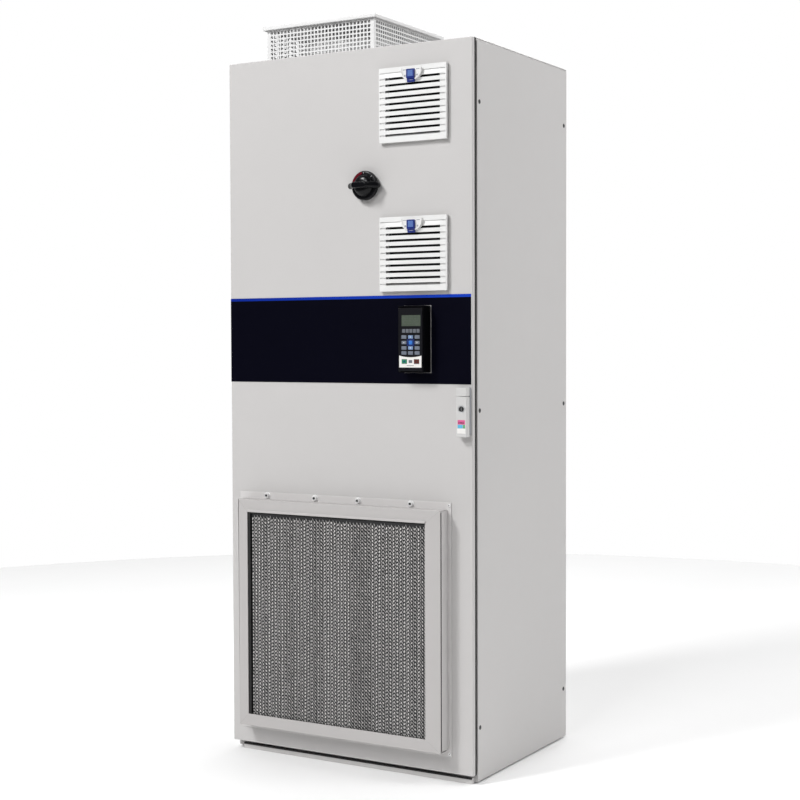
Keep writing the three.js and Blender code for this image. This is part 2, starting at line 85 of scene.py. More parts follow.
class Wire:  # a shader socket: an expression on it adds its Math nodes
    def __init__(self, finish, socket):
        self.finish, self.socket = finish, socket

    def maths(self, operation, first, second=0.0):
        return self.finish.node("ShaderNodeMath", {"operation": operation}, {0: first, 1: second})

    def __add__(self, other):
        return self.maths("ADD", self, other)

    def __radd__(self, other):
        return self.maths("ADD", other, self)

    def __sub__(self, other):
        return self.maths("SUBTRACT", self, other)

    def __rsub__(self, other):
        return self.maths("SUBTRACT", other, self)

    def __mul__(self, other):
        return self.maths("MULTIPLY", self, other)

    def __gt__(self, other):
        return self.maths("GREATER_THAN", self, other)

    def fract(self):
        return self.maths("FRACT", self)

    def absolute(self):
        return self.maths("ABSOLUTE", self)


class Finish:
    def __init__(self, name, constants):
        self.material = bpy.data.materials.new(name)
        self.material.use_nodes = True
        self.tree = self.material.node_tree
        self.shader = self.tree.nodes["Principled BSDF"]
        for socket, value in constants.items():
            self.shader.inputs[socket].default_value = value
        self.place = self.node("ShaderNodeTexCoord", output="Object")

    def node(self, kind, settings=None, socketShades=None, output=0):
        made = self.tree.nodes.new(kind)
        for setting, value in (settings or {}).items():
            setattr(made, setting, value)
        for socket, value in (socketShades or {}).items():
            self.feed(made.inputs[socket], value)
        return Wire(self, made.outputs[output])

    def feed(self, socket, value):
        if isinstance(value, Wire):
            self.tree.links.new(value.socket, socket)
        else:
            socket.default_value = value

    def plug(self, socket, value):
        self.feed(self.shader.inputs[socket], value)

    def stretch(self, x, y, z):
        return self.node("ShaderNodeVectorMath", {"operation": "MULTIPLY"}, {0: self.place, 1: (x, y, z)})

    def noise(self, scale, detail=2.0, where=None):
        place = where or self.place
        return self.node("ShaderNodeTexNoise", {}, {"Vector": place, "Scale": scale, "Detail": detail})

    def cells(self, scale, output):
        return self.node("ShaderNodeTexVoronoi", {}, {"Vector": self.place, "Scale": scale}, output)

    def along(self, axis):
        return self.node("ShaderNodeSeparateXYZ", {}, {0: self.place}, axis)

    def blend(self, factor, first, second):
        return self.node("ShaderNodeMix", {"data_type": "RGBA"}, {0: factor, 6: first, 7: second}, 2)

    def tinted(self, factor, colour, tones):
        first, second = (shade(colour, tone) for tone in tones)
        self.plug("Base Color", self.blend(factor, first, second))

    def bump(self, height, distance, strength):
        socketShades = {"Strength": strength, "Distance": distance, "Height": height}
        self.plug("Normal", self.node("ShaderNodeBump", {}, socketShades))


def shade(colour, factor):
    return (colour[0] * factor, colour[1] * factor, colour[2] * factor, 1)


# Powder coat: faint orange peel, a little uneven in tone and gloss.
powder = {"cloud": 1.7, "tones": (0.965, 1.03), "glossPatches": 23, "uneven": 0.10, "peel": 380,
          "finePeel": 1500, "depth": 0.00012}


def powderCoat(name, colour, roughness):
    paint = Finish(name, {"Specular IOR Level": 0.42, "Coat Roughness": 0.35})
    paint.tinted(paint.noise(powder["cloud"], 3.0), colour, powder["tones"])
    patches = paint.noise(powder["glossPatches"], 3.0)
    paint.plug("Roughness", roughness + (patches - 0.5) * powder["uneven"])
    peel = paint.noise(powder["peel"], 2.0) + paint.noise(powder["finePeel"], 1.0) * 0.3
    paint.bump(peel, powder["depth"], 0.5)
    return paint.material


# Zinc plate: small crystals that turn the gloss, and rolling marks along the height.
plating = {"flakes": 190.0, "tones": (0.88, 1.08), "rolling": (90, 90, 3), "flakeGloss": 0.10,
           "rollingGloss": 0.08, "depth": 0.00005}


def zincPlate(name, colour, roughness):
    plate = Finish(name, {"Metallic": 0.92, "Specular IOR Level": 0.5})
    flake = plate.node("ShaderNodeSeparateColor", {}, {0: plate.cells(plating["flakes"], "Color")})
    rolled = plate.noise(6, 4.0, plate.stretch(*plating["rolling"]))
    plate.tinted(flake, colour, plating["tones"])
    plate.plug("Roughness", roughness + flake * plating["flakeGloss"] + rolled * plating["rollingGloss"])
    plate.bump(rolled, plating["depth"], 0.4)
    return plate.material


# Moulded plastic: spark-eroded grain and a few softer, shinier patches.
mould = {"cloud": 14, "tones": (0.94, 1.05), "uneven": 0.12, "grain": 900.0, "depth": 0.00006}


def moulded(name, colour, roughness, specular=0.45):
    plastic = Finish(name, {"Specular IOR Level": specular})
    cloud = plastic.noise(mould["cloud"], 3.0)
    plastic.tinted(cloud, colour, mould["tones"])
    plastic.plug("Roughness", roughness + (cloud - 0.5) * mould["uneven"])
    plastic.bump(plastic.noise(mould["grain"], 2.0), mould["depth"], 0.6)
    return plastic.material


# Mill-finish metal with drawing lines along one direction.
drawing = {"tones": (0.82, 1.12), "uneven": 0.14, "depth": 0.00006}


def drawnMetal(name, colour, roughness, lines, metallic=0.95):
    metal = Finish(name, {"Metallic": metallic})
    streak = metal.noise(5, 5.0, metal.stretch(*lines))
    metal.tinted(streak, colour, drawing["tones"])
    metal.plug("Roughness", roughness + streak * drawing["uneven"])
    metal.bump(streak, drawing["depth"], 0.5)
    return metal.material


# Stacked steel sheets under varnish.
stacking = {"sheetsPerMetre": 1000, "patches": 30, "tones": (0.7, 1.5), "depth": 0.0002}


def laminated(name, colour):
    stack = Finish(name, {"Metallic": 0.35, "Coat Weight": 0.25, "Coat Roughness": 0.3})
    sheets = (stack.along("Y") * stacking["sheetsPerMetre"]).fract()
    edge = (sheets - 0.5).absolute() * 2
    stack.tinted(stack.noise(stacking["patches"], 4.0), colour, stacking["tones"])
    stack.plug("Roughness", 0.5 + edge * 0.2)
    stack.bump(edge, stacking["depth"], 0.5)
    return stack.material


# Enamelled wire laid in turns along the height, with a painted highlight on the crown of each turn and
# painted shade in the groove between turns.
winding = {"turnsPerMetre": 250, "tones": (1.2, 0.55), "depth": 0.0008}


def wound(name, colour):
    coil = Finish(name, {"Metallic": 0.75, "Coat Weight": 0.5, "Coat Roughness": 0.2})
    groove = ((coil.along("Z") * winding["turnsPerMetre"]).fract() - 0.5).absolute() * 2
    # lighter on each turn's crown and darker in the grooves: painted highlight and painted shade
    coil.tinted(groove * 0.7 + coil.noise(18, 3.0) * 0.3, colour, winding["tones"])
    coil.plug("Roughness", 0.3 + groove * 0.25)
    coil.bump(1 - groove, winding["depth"], 0.8)
    return coil.material


# Foamed rubber with a skin, and painted shade in the hollow of each cell.
def foam(name, colour):
    rubber = Finish(name, {"Specular IOR Level": 0.25})
    cells = rubber.cells(700.0, "Distance")
    # darker at each cell's hollow centre: painted shade
    rubber.tinted(cells, colour, (0.8, 1.6))
    rubber.plug("Roughness", 0.8 + cells * 0.15)
    rubber.bump(cells, 0.0004, 0.6)
    return rubber.material


# Printed film: near-black blue with a royal blue stripe along its top edge.
film = {"stripeFrom": 1312, "dark": (0.0008, 0.0008, 0.0040, 1), "darker": (0.0013, 0.0013, 0.0055, 1),
        "stripeLeft": (0.004, 0.018, 0.22, 1), "stripeRight": (0.008, 0.045, 0.42, 1)}


def printedFilm(name):
    sheet = Finish(name, {"Specular IOR Level": 0.04})
    stripe = sheet.along("Z") > film["stripeFrom"] * mm
    across = (sheet.along("X") + 0.4) * 1.2  # 0 to 1 from the left edge to the right one
    body = sheet.blend(sheet.noise(5, 2.0), film["dark"], film["darker"])
    blue = sheet.blend(across, film["stripeLeft"], film["stripeRight"])
    sheet.plug("Base Color", sheet.blend(stripe, body, blue))
    sheet.plug("Roughness", 0.42 + sheet.noise(40, 2.0) * 0.08)
    sheet.bump(sheet.noise(500, 1.0), 0.00002, 0.3)
    return sheet.material


# Liquid crystal window with rows of plain segments.
crystal = {"rowsPerMetre": 210.0, "columnsPerMetre": 520.0, "ground": (0.060, 0.078, 0.058, 1),
           "groundLight": (0.085, 0.105, 0.08, 1), "segment": (0.012, 0.02, 0.014, 1)}


def crystalWindow(name):
    glass = Finish(name, {"Specular IOR Level": 0.6, "Coat Weight": 0.4, "Coat Roughness": 0.08})
    row = (glass.along("Z") * crystal["rowsPerMetre"]).fract()
    column = (glass.along("X") * crystal["columnsPerMetre"]).fract()
    marked = (row > 0.45) * (column > 0.3) * (glass.noise(260, 0.0, glass.stretch(1, 1, 0.6)) > 0.47)
    ground = glass.blend(glass.noise(60, 2.0), crystal["ground"], crystal["groundLight"])
    glass.plug("Base Color", glass.blend(marked * 0.6, ground, crystal["segment"]))
    glass.plug("Roughness", 0.22 + marked * 0.1)
    glass.bump(marked, 0.00003, 0.3)
    return glass.material


print("finishes")
greyPaint = powderCoat("greyPaint", (0.498, 0.487, 0.482), 0.42)
bezelPaint = powderCoat("bezelPaint", (0.435, 0.42, 0.415), 0.45)
# a lighter copy of the grey powder coat: painted light that lifts the intake flange out of the shade beside
# the bezel
litFlangePaint = powderCoat("litFlangePaint", (0.58, 0.565, 0.56), 0.45)
seamPaint = powderCoat("seamPaint", (0.33, 0.32, 0.315), 0.6)
handlePaint = powderCoat("handlePaint", (0.53, 0.525, 0.52), 0.38)
whitePaint = powderCoat("whitePaint", (0.72, 0.72, 0.72), 0.38)
zinc = zincPlate("zinc", (0.52, 0.53, 0.54), 0.30)
finMetal = drawnMetal("finMetal", (0.66, 0.67, 0.68), 0.28, (4, 200, 4))
meshMetal = drawnMetal("meshMetal", (0.66, 0.645, 0.635), 0.34, (60, 60, 60), 0.6)
# near black: painted shade, for the filter's channel frame in its recess
channelShadeMetal = drawnMetal("channelShadeMetal", (0.02, 0.02, 0.02), 0.5, (4, 60, 4), 0.5)
darkMetal = drawnMetal("darkMetal", (0.07, 0.07, 0.072), 0.38, (50, 50, 50))
laminations = laminated("laminations", (0.055, 0.054, 0.052))
screwCap = drawnMetal("screwCap", (0.86, 0.86, 0.86), 0.26, (60, 60, 60), 0.35)
copper = wound("copper", (0.35, 0.12, 0.045))
blackPlastic = moulded("blackPlastic", (0.006, 0.006, 0.008), 0.30, specular=0.22)
cradlePlastic = moulded("cradlePlastic", (0.002, 0.002, 0.003), 0.6, specular=0.03)
knobPlastic = moulded("knobPlastic", (0.0022, 0.0022, 0.0032), 0.24, specular=0.2)
fanPlastic = moulded("fanPlastic", (0.020, 0.020, 0.022), 0.5)
greyPlastic = moulded("greyPlastic", (0.30, 0.31, 0.33), 0.5)
whitePlastic = moulded("whitePlastic", (0.70, 0.70, 0.695), 0.42)
matFoam = foam("matFoam", (0.012, 0.012, 0.012))
seal = foam("seal", (0.02, 0.02, 0.02))
clipBorder = moulded("clipBorder", (0.006, 0.018, 0.16), 0.3)
clipBlue = moulded("clipBlue", (0.095, 0.17, 0.42), 0.36)
warningRed = moulded("warningRed", (0.12, 0.004, 0.012), 0.2)
softKeyGrey = moulded("softKeyGrey", (0.11, 0.12, 0.14), 0.5)
keyGrey = moulded("keyGrey", (0.13, 0.15, 0.19), 0.5)
arrowKey = moulded("arrowKey", (0.17, 0.26, 0.44), 0.45)
keyBlue = moulded("keyBlue", (0.03, 0.16, 0.55), 0.35)
keyPad = moulded("keyPad", (0.002, 0.016, 0.11), 0.4)
keyGreen = moulded("keyGreen", (0.01, 0.19, 0.09), 0.45)
keyRed = moulded("keyRed", (0.10, 0.012, 0.006), 0.4)
legend = moulded("legend", (0.62, 0.62, 0.64), 0.5)
labelPink = moulded("labelPink", (0.62, 0.10, 0.26), 0.4)
labelCyan = moulded("labelCyan", (0.10, 0.42, 0.62), 0.4)
labelGreen = moulded("labelGreen", (0.10, 0.36, 0.16), 0.4)
panelWhite = moulded("panelWhite", (0.74, 0.73, 0.71), 0.4)


# Mesh code works in millimetres. u and v run across a face and w along its axis.
def placed(axis, u, v, w):
    return {"x": (w, u, v), "y": (u, w, v), "z": (u, v, w)}[axis]


def rounded(bm, edges, radius, steps=3):
    bmesh.ops.bevel(bm, geom=list(edges), offset=radius, segments=steps, affect="EDGES", profile=0.5,
                    clamp_overlap=True)


def block(bm, low, high, radius=0.0, steps=2):
    low, high = Vector(low), Vector(high)
    verts = bmesh.ops.create_cube(bm, size=1.0)["verts"]
    bmesh.ops.scale(bm, vec=high - low, verts=verts)
    bmesh.ops.translate(bm, vec=(low + high) / 2, verts=verts)
    if radius:
        rounded(bm, dict.fromkeys(e for v in verts for e in v.link_edges), radius, steps)


# A turned shape: (radius, height) pairs from one end to the other round an axis.
def turned(bm, axis, centre, profile, sides=32):
    rings = []
    for radius, height in profile:
        ring = []
        for i in range(sides if radius > 0.01 else 1):
            t = 2 * math.pi * i / sides
            offset = Vector(placed(axis, radius * math.cos(t), radius * math.sin(t), height))
            ring.append(bm.verts.new(Vector(centre) + offset))
        rings.append(ring)
    for a, b in zip(rings, rings[1:]):
        for i in range(sides):
            j = (i + 1) % sides
            corners = dict.fromkeys([a[i % len(a)], a[j % len(a)], b[j % len(b)], b[i % len(b)]])
            if len(corners) > 2:
                bm.faces.new(list(corners))
    for ring in (rings[0], rings[-1]):
        if len(ring) > 2:
            bm.faces.new(ring)


# An outline pushed along an axis, with a rounded rim at its second end.
def pushed(bm, axis, outline, start, end, radius=0.0, steps=2):
    first = [bm.verts.new(placed(axis, u, v, start)) for u, v in outline]
    last = [bm.verts.new(placed(axis, u, v, end)) for u, v in outline]
    bm.faces.new(first)
    front = bm.faces.new(last)
    for i in range(len(outline)):
        j = (i + 1) % len(outline)
        bm.faces.new([first[i], first[j], last[j], last[i]])
    if radius:
        rounded(bm, front.edges, radius, steps)


# A stepped sheet: level(u, v) gives the face height in each cell between break lines, None for a hole.
def stepped(bm, axis, us, vs, back, level):
    corners = {}

    def vert(u, v, w):
        key = (round(u, 4), round(v, 4), round(w, 4))
        if key not in corners:
            corners[key] = bm.verts.new(placed(axis, u, v, w))
        return corners[key]

    def quad(points):
        bm.faces.new([vert(*p) for p in points])

    cells = [[level((a + b) / 2, (c + d) / 2) for c, d in zip(vs, vs[1:])] for a, b in zip(us, us[1:])]
    for i, (a, b) in enumerate(zip(us, us[1:])):
        for j, (c, d) in enumerate(zip(vs, vs[1:])):
            if cells[i][j] is not None:
                for w in (cells[i][j], back):
                    quad([(a, c, w), (b, c, w), (b, d, w), (a, d, w)])

    def height(i, j):
        inside = 0 <= i < len(us) - 1 and 0 <= j < len(vs) - 1
        found = cells[i][j] if inside else None
        return back if found is None else found

    def wall(one, two, start, end):  # closes the step between two neighbouring cells
        if abs(one - two) > 1e-6:
            quad([(*start, one), (*end, one), (*end, two), (*start, two)])

    for i, u in enumerate(us):
        for j in range(len(vs) - 1):
            wall(height(i - 1, j), height(i, j), (u, vs[j]), (u, vs[j + 1]))
    for i in range(len(us) - 1):
        for j, v in enumerate(vs):
            wall(height(i, j - 1), height(i, j), (us[i], v), (us[i + 1], v))


# Four lines each way: the cell in the middle is a hole, or lies at another height.
def framed(bm, axis, us, vs, back, face, inside=None):
    stepped(bm, axis, us, vs, back,
            lambda u, v: inside if us[1] < u < us[2] and vs[1] < v < vs[2] else face)


def inLine(edge, axis, value):
    return all(abs(v.co[axis] - value) < 0.01 for v in edge.verts)


# The outline of a front face at depth y: its edges at two values of x and two of z.
def frontRim(bm, y, xs, zs):
    return [e for e in bm.edges if inLine(e, 1, y) and
            (any(inLine(e, 0, x) for x in xs) or any(inLine(e, 2, z) for z in zs))]


# A recessed screw head on its washer.
def screw(bm, axis, centre, radius, height, sign):
    steps = [(1.35, 0.0), (1.35, 0.25), (1, 0.45), (0.92, 1), (0.5, 1), (0.5, 0.3), (0, 0.3)]
    turned(bm, axis, centre, [(radius * r, sign * height * h) for r, h in steps], 20)


def linked(name, mesh, host, slot=None):
    piece = bpy.data.objects.new(name, mesh)
    bpy.context.scene.collection.objects.link(piece)
    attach(piece, bodyOf[host])
    slot or slotOf[host]
    return piece


# A piece in the scene, riding on the body of its host node.
def installed(name, bm, finish, host, replaces=False, smooth=38, slot=None):
    bmesh.ops.recalc_face_normals(bm, faces=bm.faces)
    bmesh.ops.scale(bm, vec=(mm, mm, mm), verts=bm.verts)
    mesh = bpy.data.meshes.new(name)
    bm.to_mesh(mesh)
    bm.free()
    mesh.materials.append(finish)
    mesh.polygons.foreach_set("use_smooth", [True] * len(mesh.polygons))
    mesh.set_sharp_from_angle(angle=math.radians(smooth))
    piece = linked(name, mesh, host, slot)
    piece.modifiers.new("evenNormals", "WEIGHTED_NORMAL").keep_sharp = True
    if replaces:
        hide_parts(host)


def copyOf(node):
    bm = bmesh.new()
    bm.from_mesh(nodes[node].data)
    bmesh.ops.scale(bm, vec=(1000, 1000, 1000), verts=bm.verts)
    bmesh.ops.remove_doubles(bm, verts=bm.verts, dist=0.005)
    bmesh.ops.dissolve_limit(bm, angle_limit=math.radians(1), verts=bm.verts, edges=bm.edges)
    return bm


# Folded sheet: only the edges that lie on two outer faces of the box get the bend radius.
def folded(name, node, finish, radius, steps=3):
    bm = copyOf(node)
    limits = span(node)

    def outer(point):
        return {(i, side) for i in range(3) for side in (0, 1) if abs(point[i] - limits[side][i]) < 0.02}

    folds = [e for e in bm.edges if len(outer(e.verts[0].co) & outer(e.verts[1].co)) > 1]
    rounded(bm, folds, radius, steps)
    installed(name, bm, finish, node, True)


# Moulded or cast part: every sharp edge is rounded.
def softened(name, node, finish, radius, steps=2):
    bm = copyOf(node)
    sharp = math.radians(35)
    edges = [e for e in bm.edges if len(e.link_faces) == 2 and e.calc_face_angle(0) > sharp]
    rounded(bm, edges, radius, steps)
    installed(name, bm, finish, node, True)


def coat(finish, *names):
    for name in names:
        for slot in nodes[name].material_slots:
            slot.material = finish


print("cabinet sheet metal")
sheets = {"bend": 1.7, "doorBend": 2.8, "roofBend": 1.8}  # bend stays below the panels' 2 mm of sheet
folded("doorSkin", "door_panel", greyPaint, sheets["doorBend"])
for node in ("left_side_panel", "right_side_panel", "rear_panel"):
    folded(node + "Skin", node, greyPaint, sheets["bend"])
folded("roofSkin", "roof_panel", greyPaint, sheets["roofBend"], 2)
coat(greyPaint, "base_frame", "roof_frame")
coat(zinc, "gland_plate", "mounting_plate", "hinge_bracket_lower", "hinge_bracket_upper", "hinge_leaf_lower",
     "hinge_leaf_upper", "lock_rod_upper", "lock_rod_lower", "isolator_shaft", "door_frame")
coat(seal, "door_gasket")
coat(printedFilm("bandFilm"), "name_band")

# A black strip over the rear of the door's folded edges, painted shade of the gap round the door, and a black
# strip on the sill below the door, painted shade of the gap under it.
gapShade = {"deep": 7.5, "wall": 2.5, "proud": 0.2}
sill = {"below": 9, "height": 4.5, "left": 9, "right": 1, "proud": 0.6, "deep": 6, "round": 0.8}
low, high = span("door_panel")
bm = bmesh.new()
gapShadeX, gapShadeZ = ([a - gapShade["proud"], a + gapShade["wall"], b - gapShade["wall"], b + gapShade["proud"]]
                for a, b in ((low.x, high.x), (low.z, high.z)))
framed(bm, "y", gapShadeX, gapShadeZ, high.y + 0.1, high.y - gapShade["deep"])
installed("doorGapShade", bm, seal, "door_panel", slot="seal_rubber")
baseLow, baseHigh = span("base_frame")
sillTop = low.z - sill["below"]
# the black strip on the sill top is painted shade of the gap under the door
bm = bmesh.new()
block(bm, (baseLow.x + sill["left"], baseLow.y - sill["proud"], sillTop - sill["height"]),
      (baseHigh.x - sill["right"], baseLow.y + sill["deep"], sillTop + 0.4), sill["round"])
installed("sillShadeStrip", bm, seal, "base_frame", slot="seal_rubber")

# Panel screws: dark recessed heads near the edges.
panelScrew = {"radius": 4.6, "height": 1.3, "heights": (150, 1008, 1832), "frontInset": 13, "rearInset": 20,
              "backInset": 18}


def panelScrews(name, node, axis, sign, columns, face):
    bm = bmesh.new()
    for z in panelScrew["heights"]:
        for column in columns:
            centre = (face, column, z) if axis == "x" else (column, face, z)
            screw(bm, axis, centre, panelScrew["radius"], panelScrew["height"], sign)
    installed(name, bm, darkMetal, node, slot="lock_steel")


for side, sign in (("left", -1), ("right", 1)):
    low, high = span(side + "_side_panel")
    columns = (low.y + panelScrew["frontInset"], high.y - panelScrew["rearInset"])
    panelScrews(side + "PanelScrews", side + "_side_panel", "x", sign, columns, high.x if sign > 0 else low.x)
low, high = span("rear_panel")
columns = (low.x + panelScrew["backInset"], high.x - panelScrew["backInset"])
panelScrews("rearPanelScrews", "rear_panel", "y", 1, columns, high.y)

# Corner bolts that hold the roof sheet, each on a washer.
roofBolt = {"washer": 14, "thick": 1.5, "head": 9.5, "height": 6.5, "inset": 38}
low, high = span("roof_panel")
head, thick = roofBolt["head"], roofBolt["thick"]
washer = [(roofBolt["washer"], 0), (roofBolt["washer"], thick), (head, thick + 0.1)]
hexagon = [(head, thick), (head, roofBolt["height"]), (head * 0.85, roofBolt["height"] + 1)]
bm = bmesh.new()
for x in (low.x + roofBolt["inset"], high.x - roofBolt["inset"]):
    for y in (low.y + roofBolt["inset"], high.y - roofBolt["inset"]):
        turned(bm, "z", (x, y, high.z), washer, 28)
        turned(bm, "z", (x, y, high.z), hexagon, 6)
installed("roofBolts", bm, zinc, "roof_panel", slot="zinc_steel", smooth=25)

# Corner posts: folded angle with a row of mounting holes in each leg.
post = {"leg": 50, "wall": 3, "hole": 10, "holeFrom": 22, "pitch": 25, "firstHole": 40, "ends": 60}


def cornerPost(end, side):
    node = f"upright_{end}_{side}"
    low, high = span(node)
    wall, hole, holeFrom = post["wall"], post["hole"], post["holeFrom"]
    xEdge, xStep = (low.x, 1) if side == "left" else (high.x, -1)
    yEdge, yStep = (low.y, 1) if end == "front" else (high.y, -1)
    count = int((high.z - low.z - post["ends"]) / post["pitch"])
    holes = [low.z + post["firstHole"] + i * post["pitch"] for i in range(count)]
    vs = sorted([low.z, high.z] + [z + s * hole / 2 for z in holes for s in (-1, 1)])
    bm = bmesh.new()

    def leg(axis, edge, step, face, inward):
        def level(u, v):
            inRow = any(abs(v - z) < hole / 2 for z in holes)
            punched = inRow and holeFrom < (u - edge) * step < holeFrom + hole
            return None if punched else face + inward * wall

        us = sorted(edge + step * d for d in (wall, holeFrom, holeFrom + hole, post["leg"]))
        stepped(bm, axis, us, vs, face, level)

    leg("y", xEdge, xStep, yEdge, yStep)
    leg("x", yEdge, yStep, xEdge, xStep)
    xs, ys = (xEdge, xEdge + xStep * wall), (yEdge, yEdge + yStep * wall)
    pushed(bm, "z", [(xs[0], ys[0]), (xs[1], ys[0]), (xs[1], ys[1]), (xs[0], ys[1])], low.z, high.z)
    installed(node + "Post", bm, greyPaint, node, True)


for end in ("front", "rear"):
    for side in ("left", "right"):
        cornerPost(end, side)

print("roof exhaust")
hood = {"hole": 8, "pitch": 12, "foot": 9, "footSheet": 2, "sheet": 1.6, "post": 6, "rowsFrom": 5.0,
        "lidBend": 2.5, "screwInset": 4.5}
low, high = span("hood_cage")
wallLow = (low.x + hood["foot"], low.y + hood["foot"])
wallHigh = (high.x - hood["foot"], high.y - hood["foot"])


def holeLines(start, end, margin):
    count = int((end - start - 2 * margin) // hood["pitch"])
    first = (start + end) / 2 - (count - 1) * hood["pitch"] / 2
    centres = [first + i * hood["pitch"] for i in range(count)]
    return centres, sorted([start, end] + [c + s * hood["hole"] / 2 for c in centres for s in (-1, 1)])


def cageWall(bm, axis, start, end, face, inner):
    across, us = holeLines(start, end, hood["post"])
    up, vs = holeLines(low.z + 2, high.z - 3, hood["rowsFrom"])
    half = hood["hole"] / 2

    def level(u, v):
        isHole = any(abs(u - c) < half for c in across) and any(abs(v - c) < half for c in up)
        return None if isHole else face

    stepped(bm, axis, us, vs, inner, level)


bm = bmesh.new()
thick = hood["sheet"]
for face, inner in ((wallLow[1], wallLow[1] + thick), (wallHigh[1], wallHigh[1] - thick)):
    cageWall(bm, "y", wallLow[0], wallHigh[0], face, inner)
for face, inner in ((wallLow[0], wallLow[0] + thick), (wallHigh[0], wallHigh[0] - thick)):
    cageWall(bm, "x", wallLow[1] + thick, wallHigh[1] - thick, face, inner)
footX, footY = ([low[i], wallLow[i] + 2, wallHigh[i] - 2, high[i]] for i in (0, 1))
framed(bm, "z", footX, footY, low.z, low.z + hood["footSheet"])
installed("hoodCage", bm, whitePaint, "hood_cage", True, smooth=20)
folded("hoodLid", "hood_lid", whitePaint, hood["lidBend"])
bm = bmesh.new()
for x in (low.x + hood["screwInset"], (low.x + high.x) / 2, high.x - hood["screwInset"]):
    for y in (low.y + hood["screwInset"], high.y - hood["screwInset"]):
        screw(bm, "z", (x, y, low.z + hood["footSheet"]), 2.7, 2.0, 1)
installed("hoodScrews", bm, zinc, "hood_cage", slot="zinc_steel")
softened("exhaustFanHousing", "exhaust_fan_housing", whitePaint, 0.8)
softened("exhaustFanWheel", "exhaust_fan_impeller", fanPlastic, 0.5, 1)

print("filter fans")
grille = {"proud": 12.2, "sheet": 3, "half": 105, "slots": 10, "pitch": 16.9, "slotHeight": 6.4,
          "firstSlot": 30.5, "slotHalf": 85, "notchFrom": 86, "notchTo": 102, "notch": 3.6,
          "notchDepth": 2.7, "seam": 13,
          "seamHeight": 2.6, "seamDepth": 2.7, "slopeTo": 25, "rim": 1.6}
latch = {"bossHalf": 32.5, "bossTop": 8, "bossDepth": 32, "shoulder": 3, "proud": 8.4, "field": 6.2,
         "rim": 3.2, "frame": 3.6, "recess": 1.1, "faceProud": 0.5, "lip": 10, "ribs": 6}
grilleFace = doorFace - grille["proud"]


# Louvred sheet with a seam above the slots, notches beside them, and a wall back to the door.
def grilleSheet(bm, low, high, x):
    slots = [high.z - grille["firstSlot"] - i * grille["pitch"] for i in range(grille["slots"])]
    seamTop = high.z - grille["seam"]
    seamLow = seamTop - grille["seamHeight"]
    vs = [low.z, high.z, seamTop, seamLow, high.z - grille["slopeTo"]]
    for z in slots:
        vs += [z + s * h for s in (-0.5, 0.5) for h in (grille["slotHeight"], grille["notch"])]
    halves = (grille["slotHalf"], grille["notchFrom"], grille["notchTo"], grille["half"])
    us = [x + s * d for s in (-1, 1) for d in halves]

    def relief(u, v):
        d = abs(u - x)
        near = min(abs(v - z) for z in slots)
        if d < grille["slotHalf"] and near < grille["slotHeight"] / 2:
            return None
        if grille["notchFrom"] < d < grille["notchTo"] and near < grille["notch"] / 2:
            return grilleFace + grille["notchDepth"]
        if seamLow < v < seamTop and d < grille["notchTo"]:
            return grilleFace + grille["seamDepth"]
        return grilleFace

    sheetBack = grilleFace + grille["sheet"]
    stepped(bm, "y", sorted(us), sorted(vs), sheetBack, relief)
    for v in bm.verts:  # the strip under the seam slopes back to meet it
        if abs(v.co.z - seamLow) < 0.01 and v.co.y < sheetBack - 0.5 and abs(v.co.x - x) < grille["notchTo"]:
            v.co.y = grilleFace + grille["seamDepth"] - 0.2
    sides = (x - grille["half"], x + grille["half"])
    rounded(bm, frontRim(bm, grilleFace, sides, (low.z, high.z)), grille["rim"])
    wallX, wallZ = ([low[i], low[i] + 3, high[i] - 3, high[i]] for i in (0, 2))
    framed(bm, "y", wallX, wallZ, high.y, sheetBack)


# Half-round boss that carries the latch, its rim prouder than its field.
def latchBoss(bm, x, top):
    def arch(inset):
        half, deep = latch["bossHalf"] - inset, latch["bossDepth"] - latch["shoulder"] - inset
        angles = [math.pi * i / 20 for i in range(21)]
        arc = [(x + half * math.cos(t), top - latch["shoulder"] - deep * math.sin(t) ** 0.8) for t in angles]
        return [(x + half, top)] + arc + [(x - half, top)]

    pushed(bm, "y", arch(0.4), grilleFace + 2.6, grilleFace - latch["field"], 0.5)
    pushed(bm, "y", arch(0) + arch(latch["rim"])[::-1], grilleFace + 2.5, grilleFace - latch["proud"], 1.0)


# Grey blocks beside the latch, painted shade of the gaps there, and two small catches.
def latchMarks(bm, x, top):
    front = grilleFace - latch["field"]
    for s in (-1, 1):
        block(bm, (x + s * 21 - 5, front - 0.15, top - 4.4), (x + s * 21 + 5, front + 0.5, top - 2.2))
        turned(bm, "y", (x + s * 19, front, top - 19), [(2.6, 0.4), (2.6, -0.5), (1.6, -0.9), (0, -0.9)], 16)


# The latch: a frame round a ribbed face, with a lip below.
def latchPiece(name, node):
    low, high = span(node)
    inset, front = latch["frame"], low.y
    bottom = low.z + latch["lip"]
    us = [low.x, low.x + inset, high.x - inset, high.x]
    vs = [bottom, bottom + inset * 1.3, high.z - inset * 0.8, high.z]
    bm = bmesh.new()
    framed(bm, "y", us, vs, high.y, front, front + latch["recess"])
    rounded(bm, frontRim(bm, front, (us[0], us[3]), (vs[0], vs[3])), 0.9, 2)
    rear = high.y - 4.4
    lip = [(rear, bottom + 1), (front + 2.5, bottom + 1), (front + 5.2, low.z), (rear, low.z)]
    pushed(bm, "x", lip, low.x + 0.5, high.x - 0.5, 0.5)
    installed(name + "LatchFrame", bm, clipBorder, node, True)
    bm = bmesh.new()
    faceFront = front + latch["faceProud"]
    block(bm, (us[1] + 0.2, faceFront, vs[1] + 0.2), (us[2] - 0.2, front + 1.3, vs[2] - 0.2), 0.3)
    for i in range(latch["ribs"]):
        z = vs[1] + 2.2 + i * (vs[2] - vs[1] - 4.4) / (latch["ribs"] - 1)
        block(bm, (us[1] + 1.6, front + 0.05, z - 0.7), (us[2] - 1.6, front + 0.8, z + 0.7), 0.25, 1)
    installed(name + "LatchFace", bm, clipBlue, node)


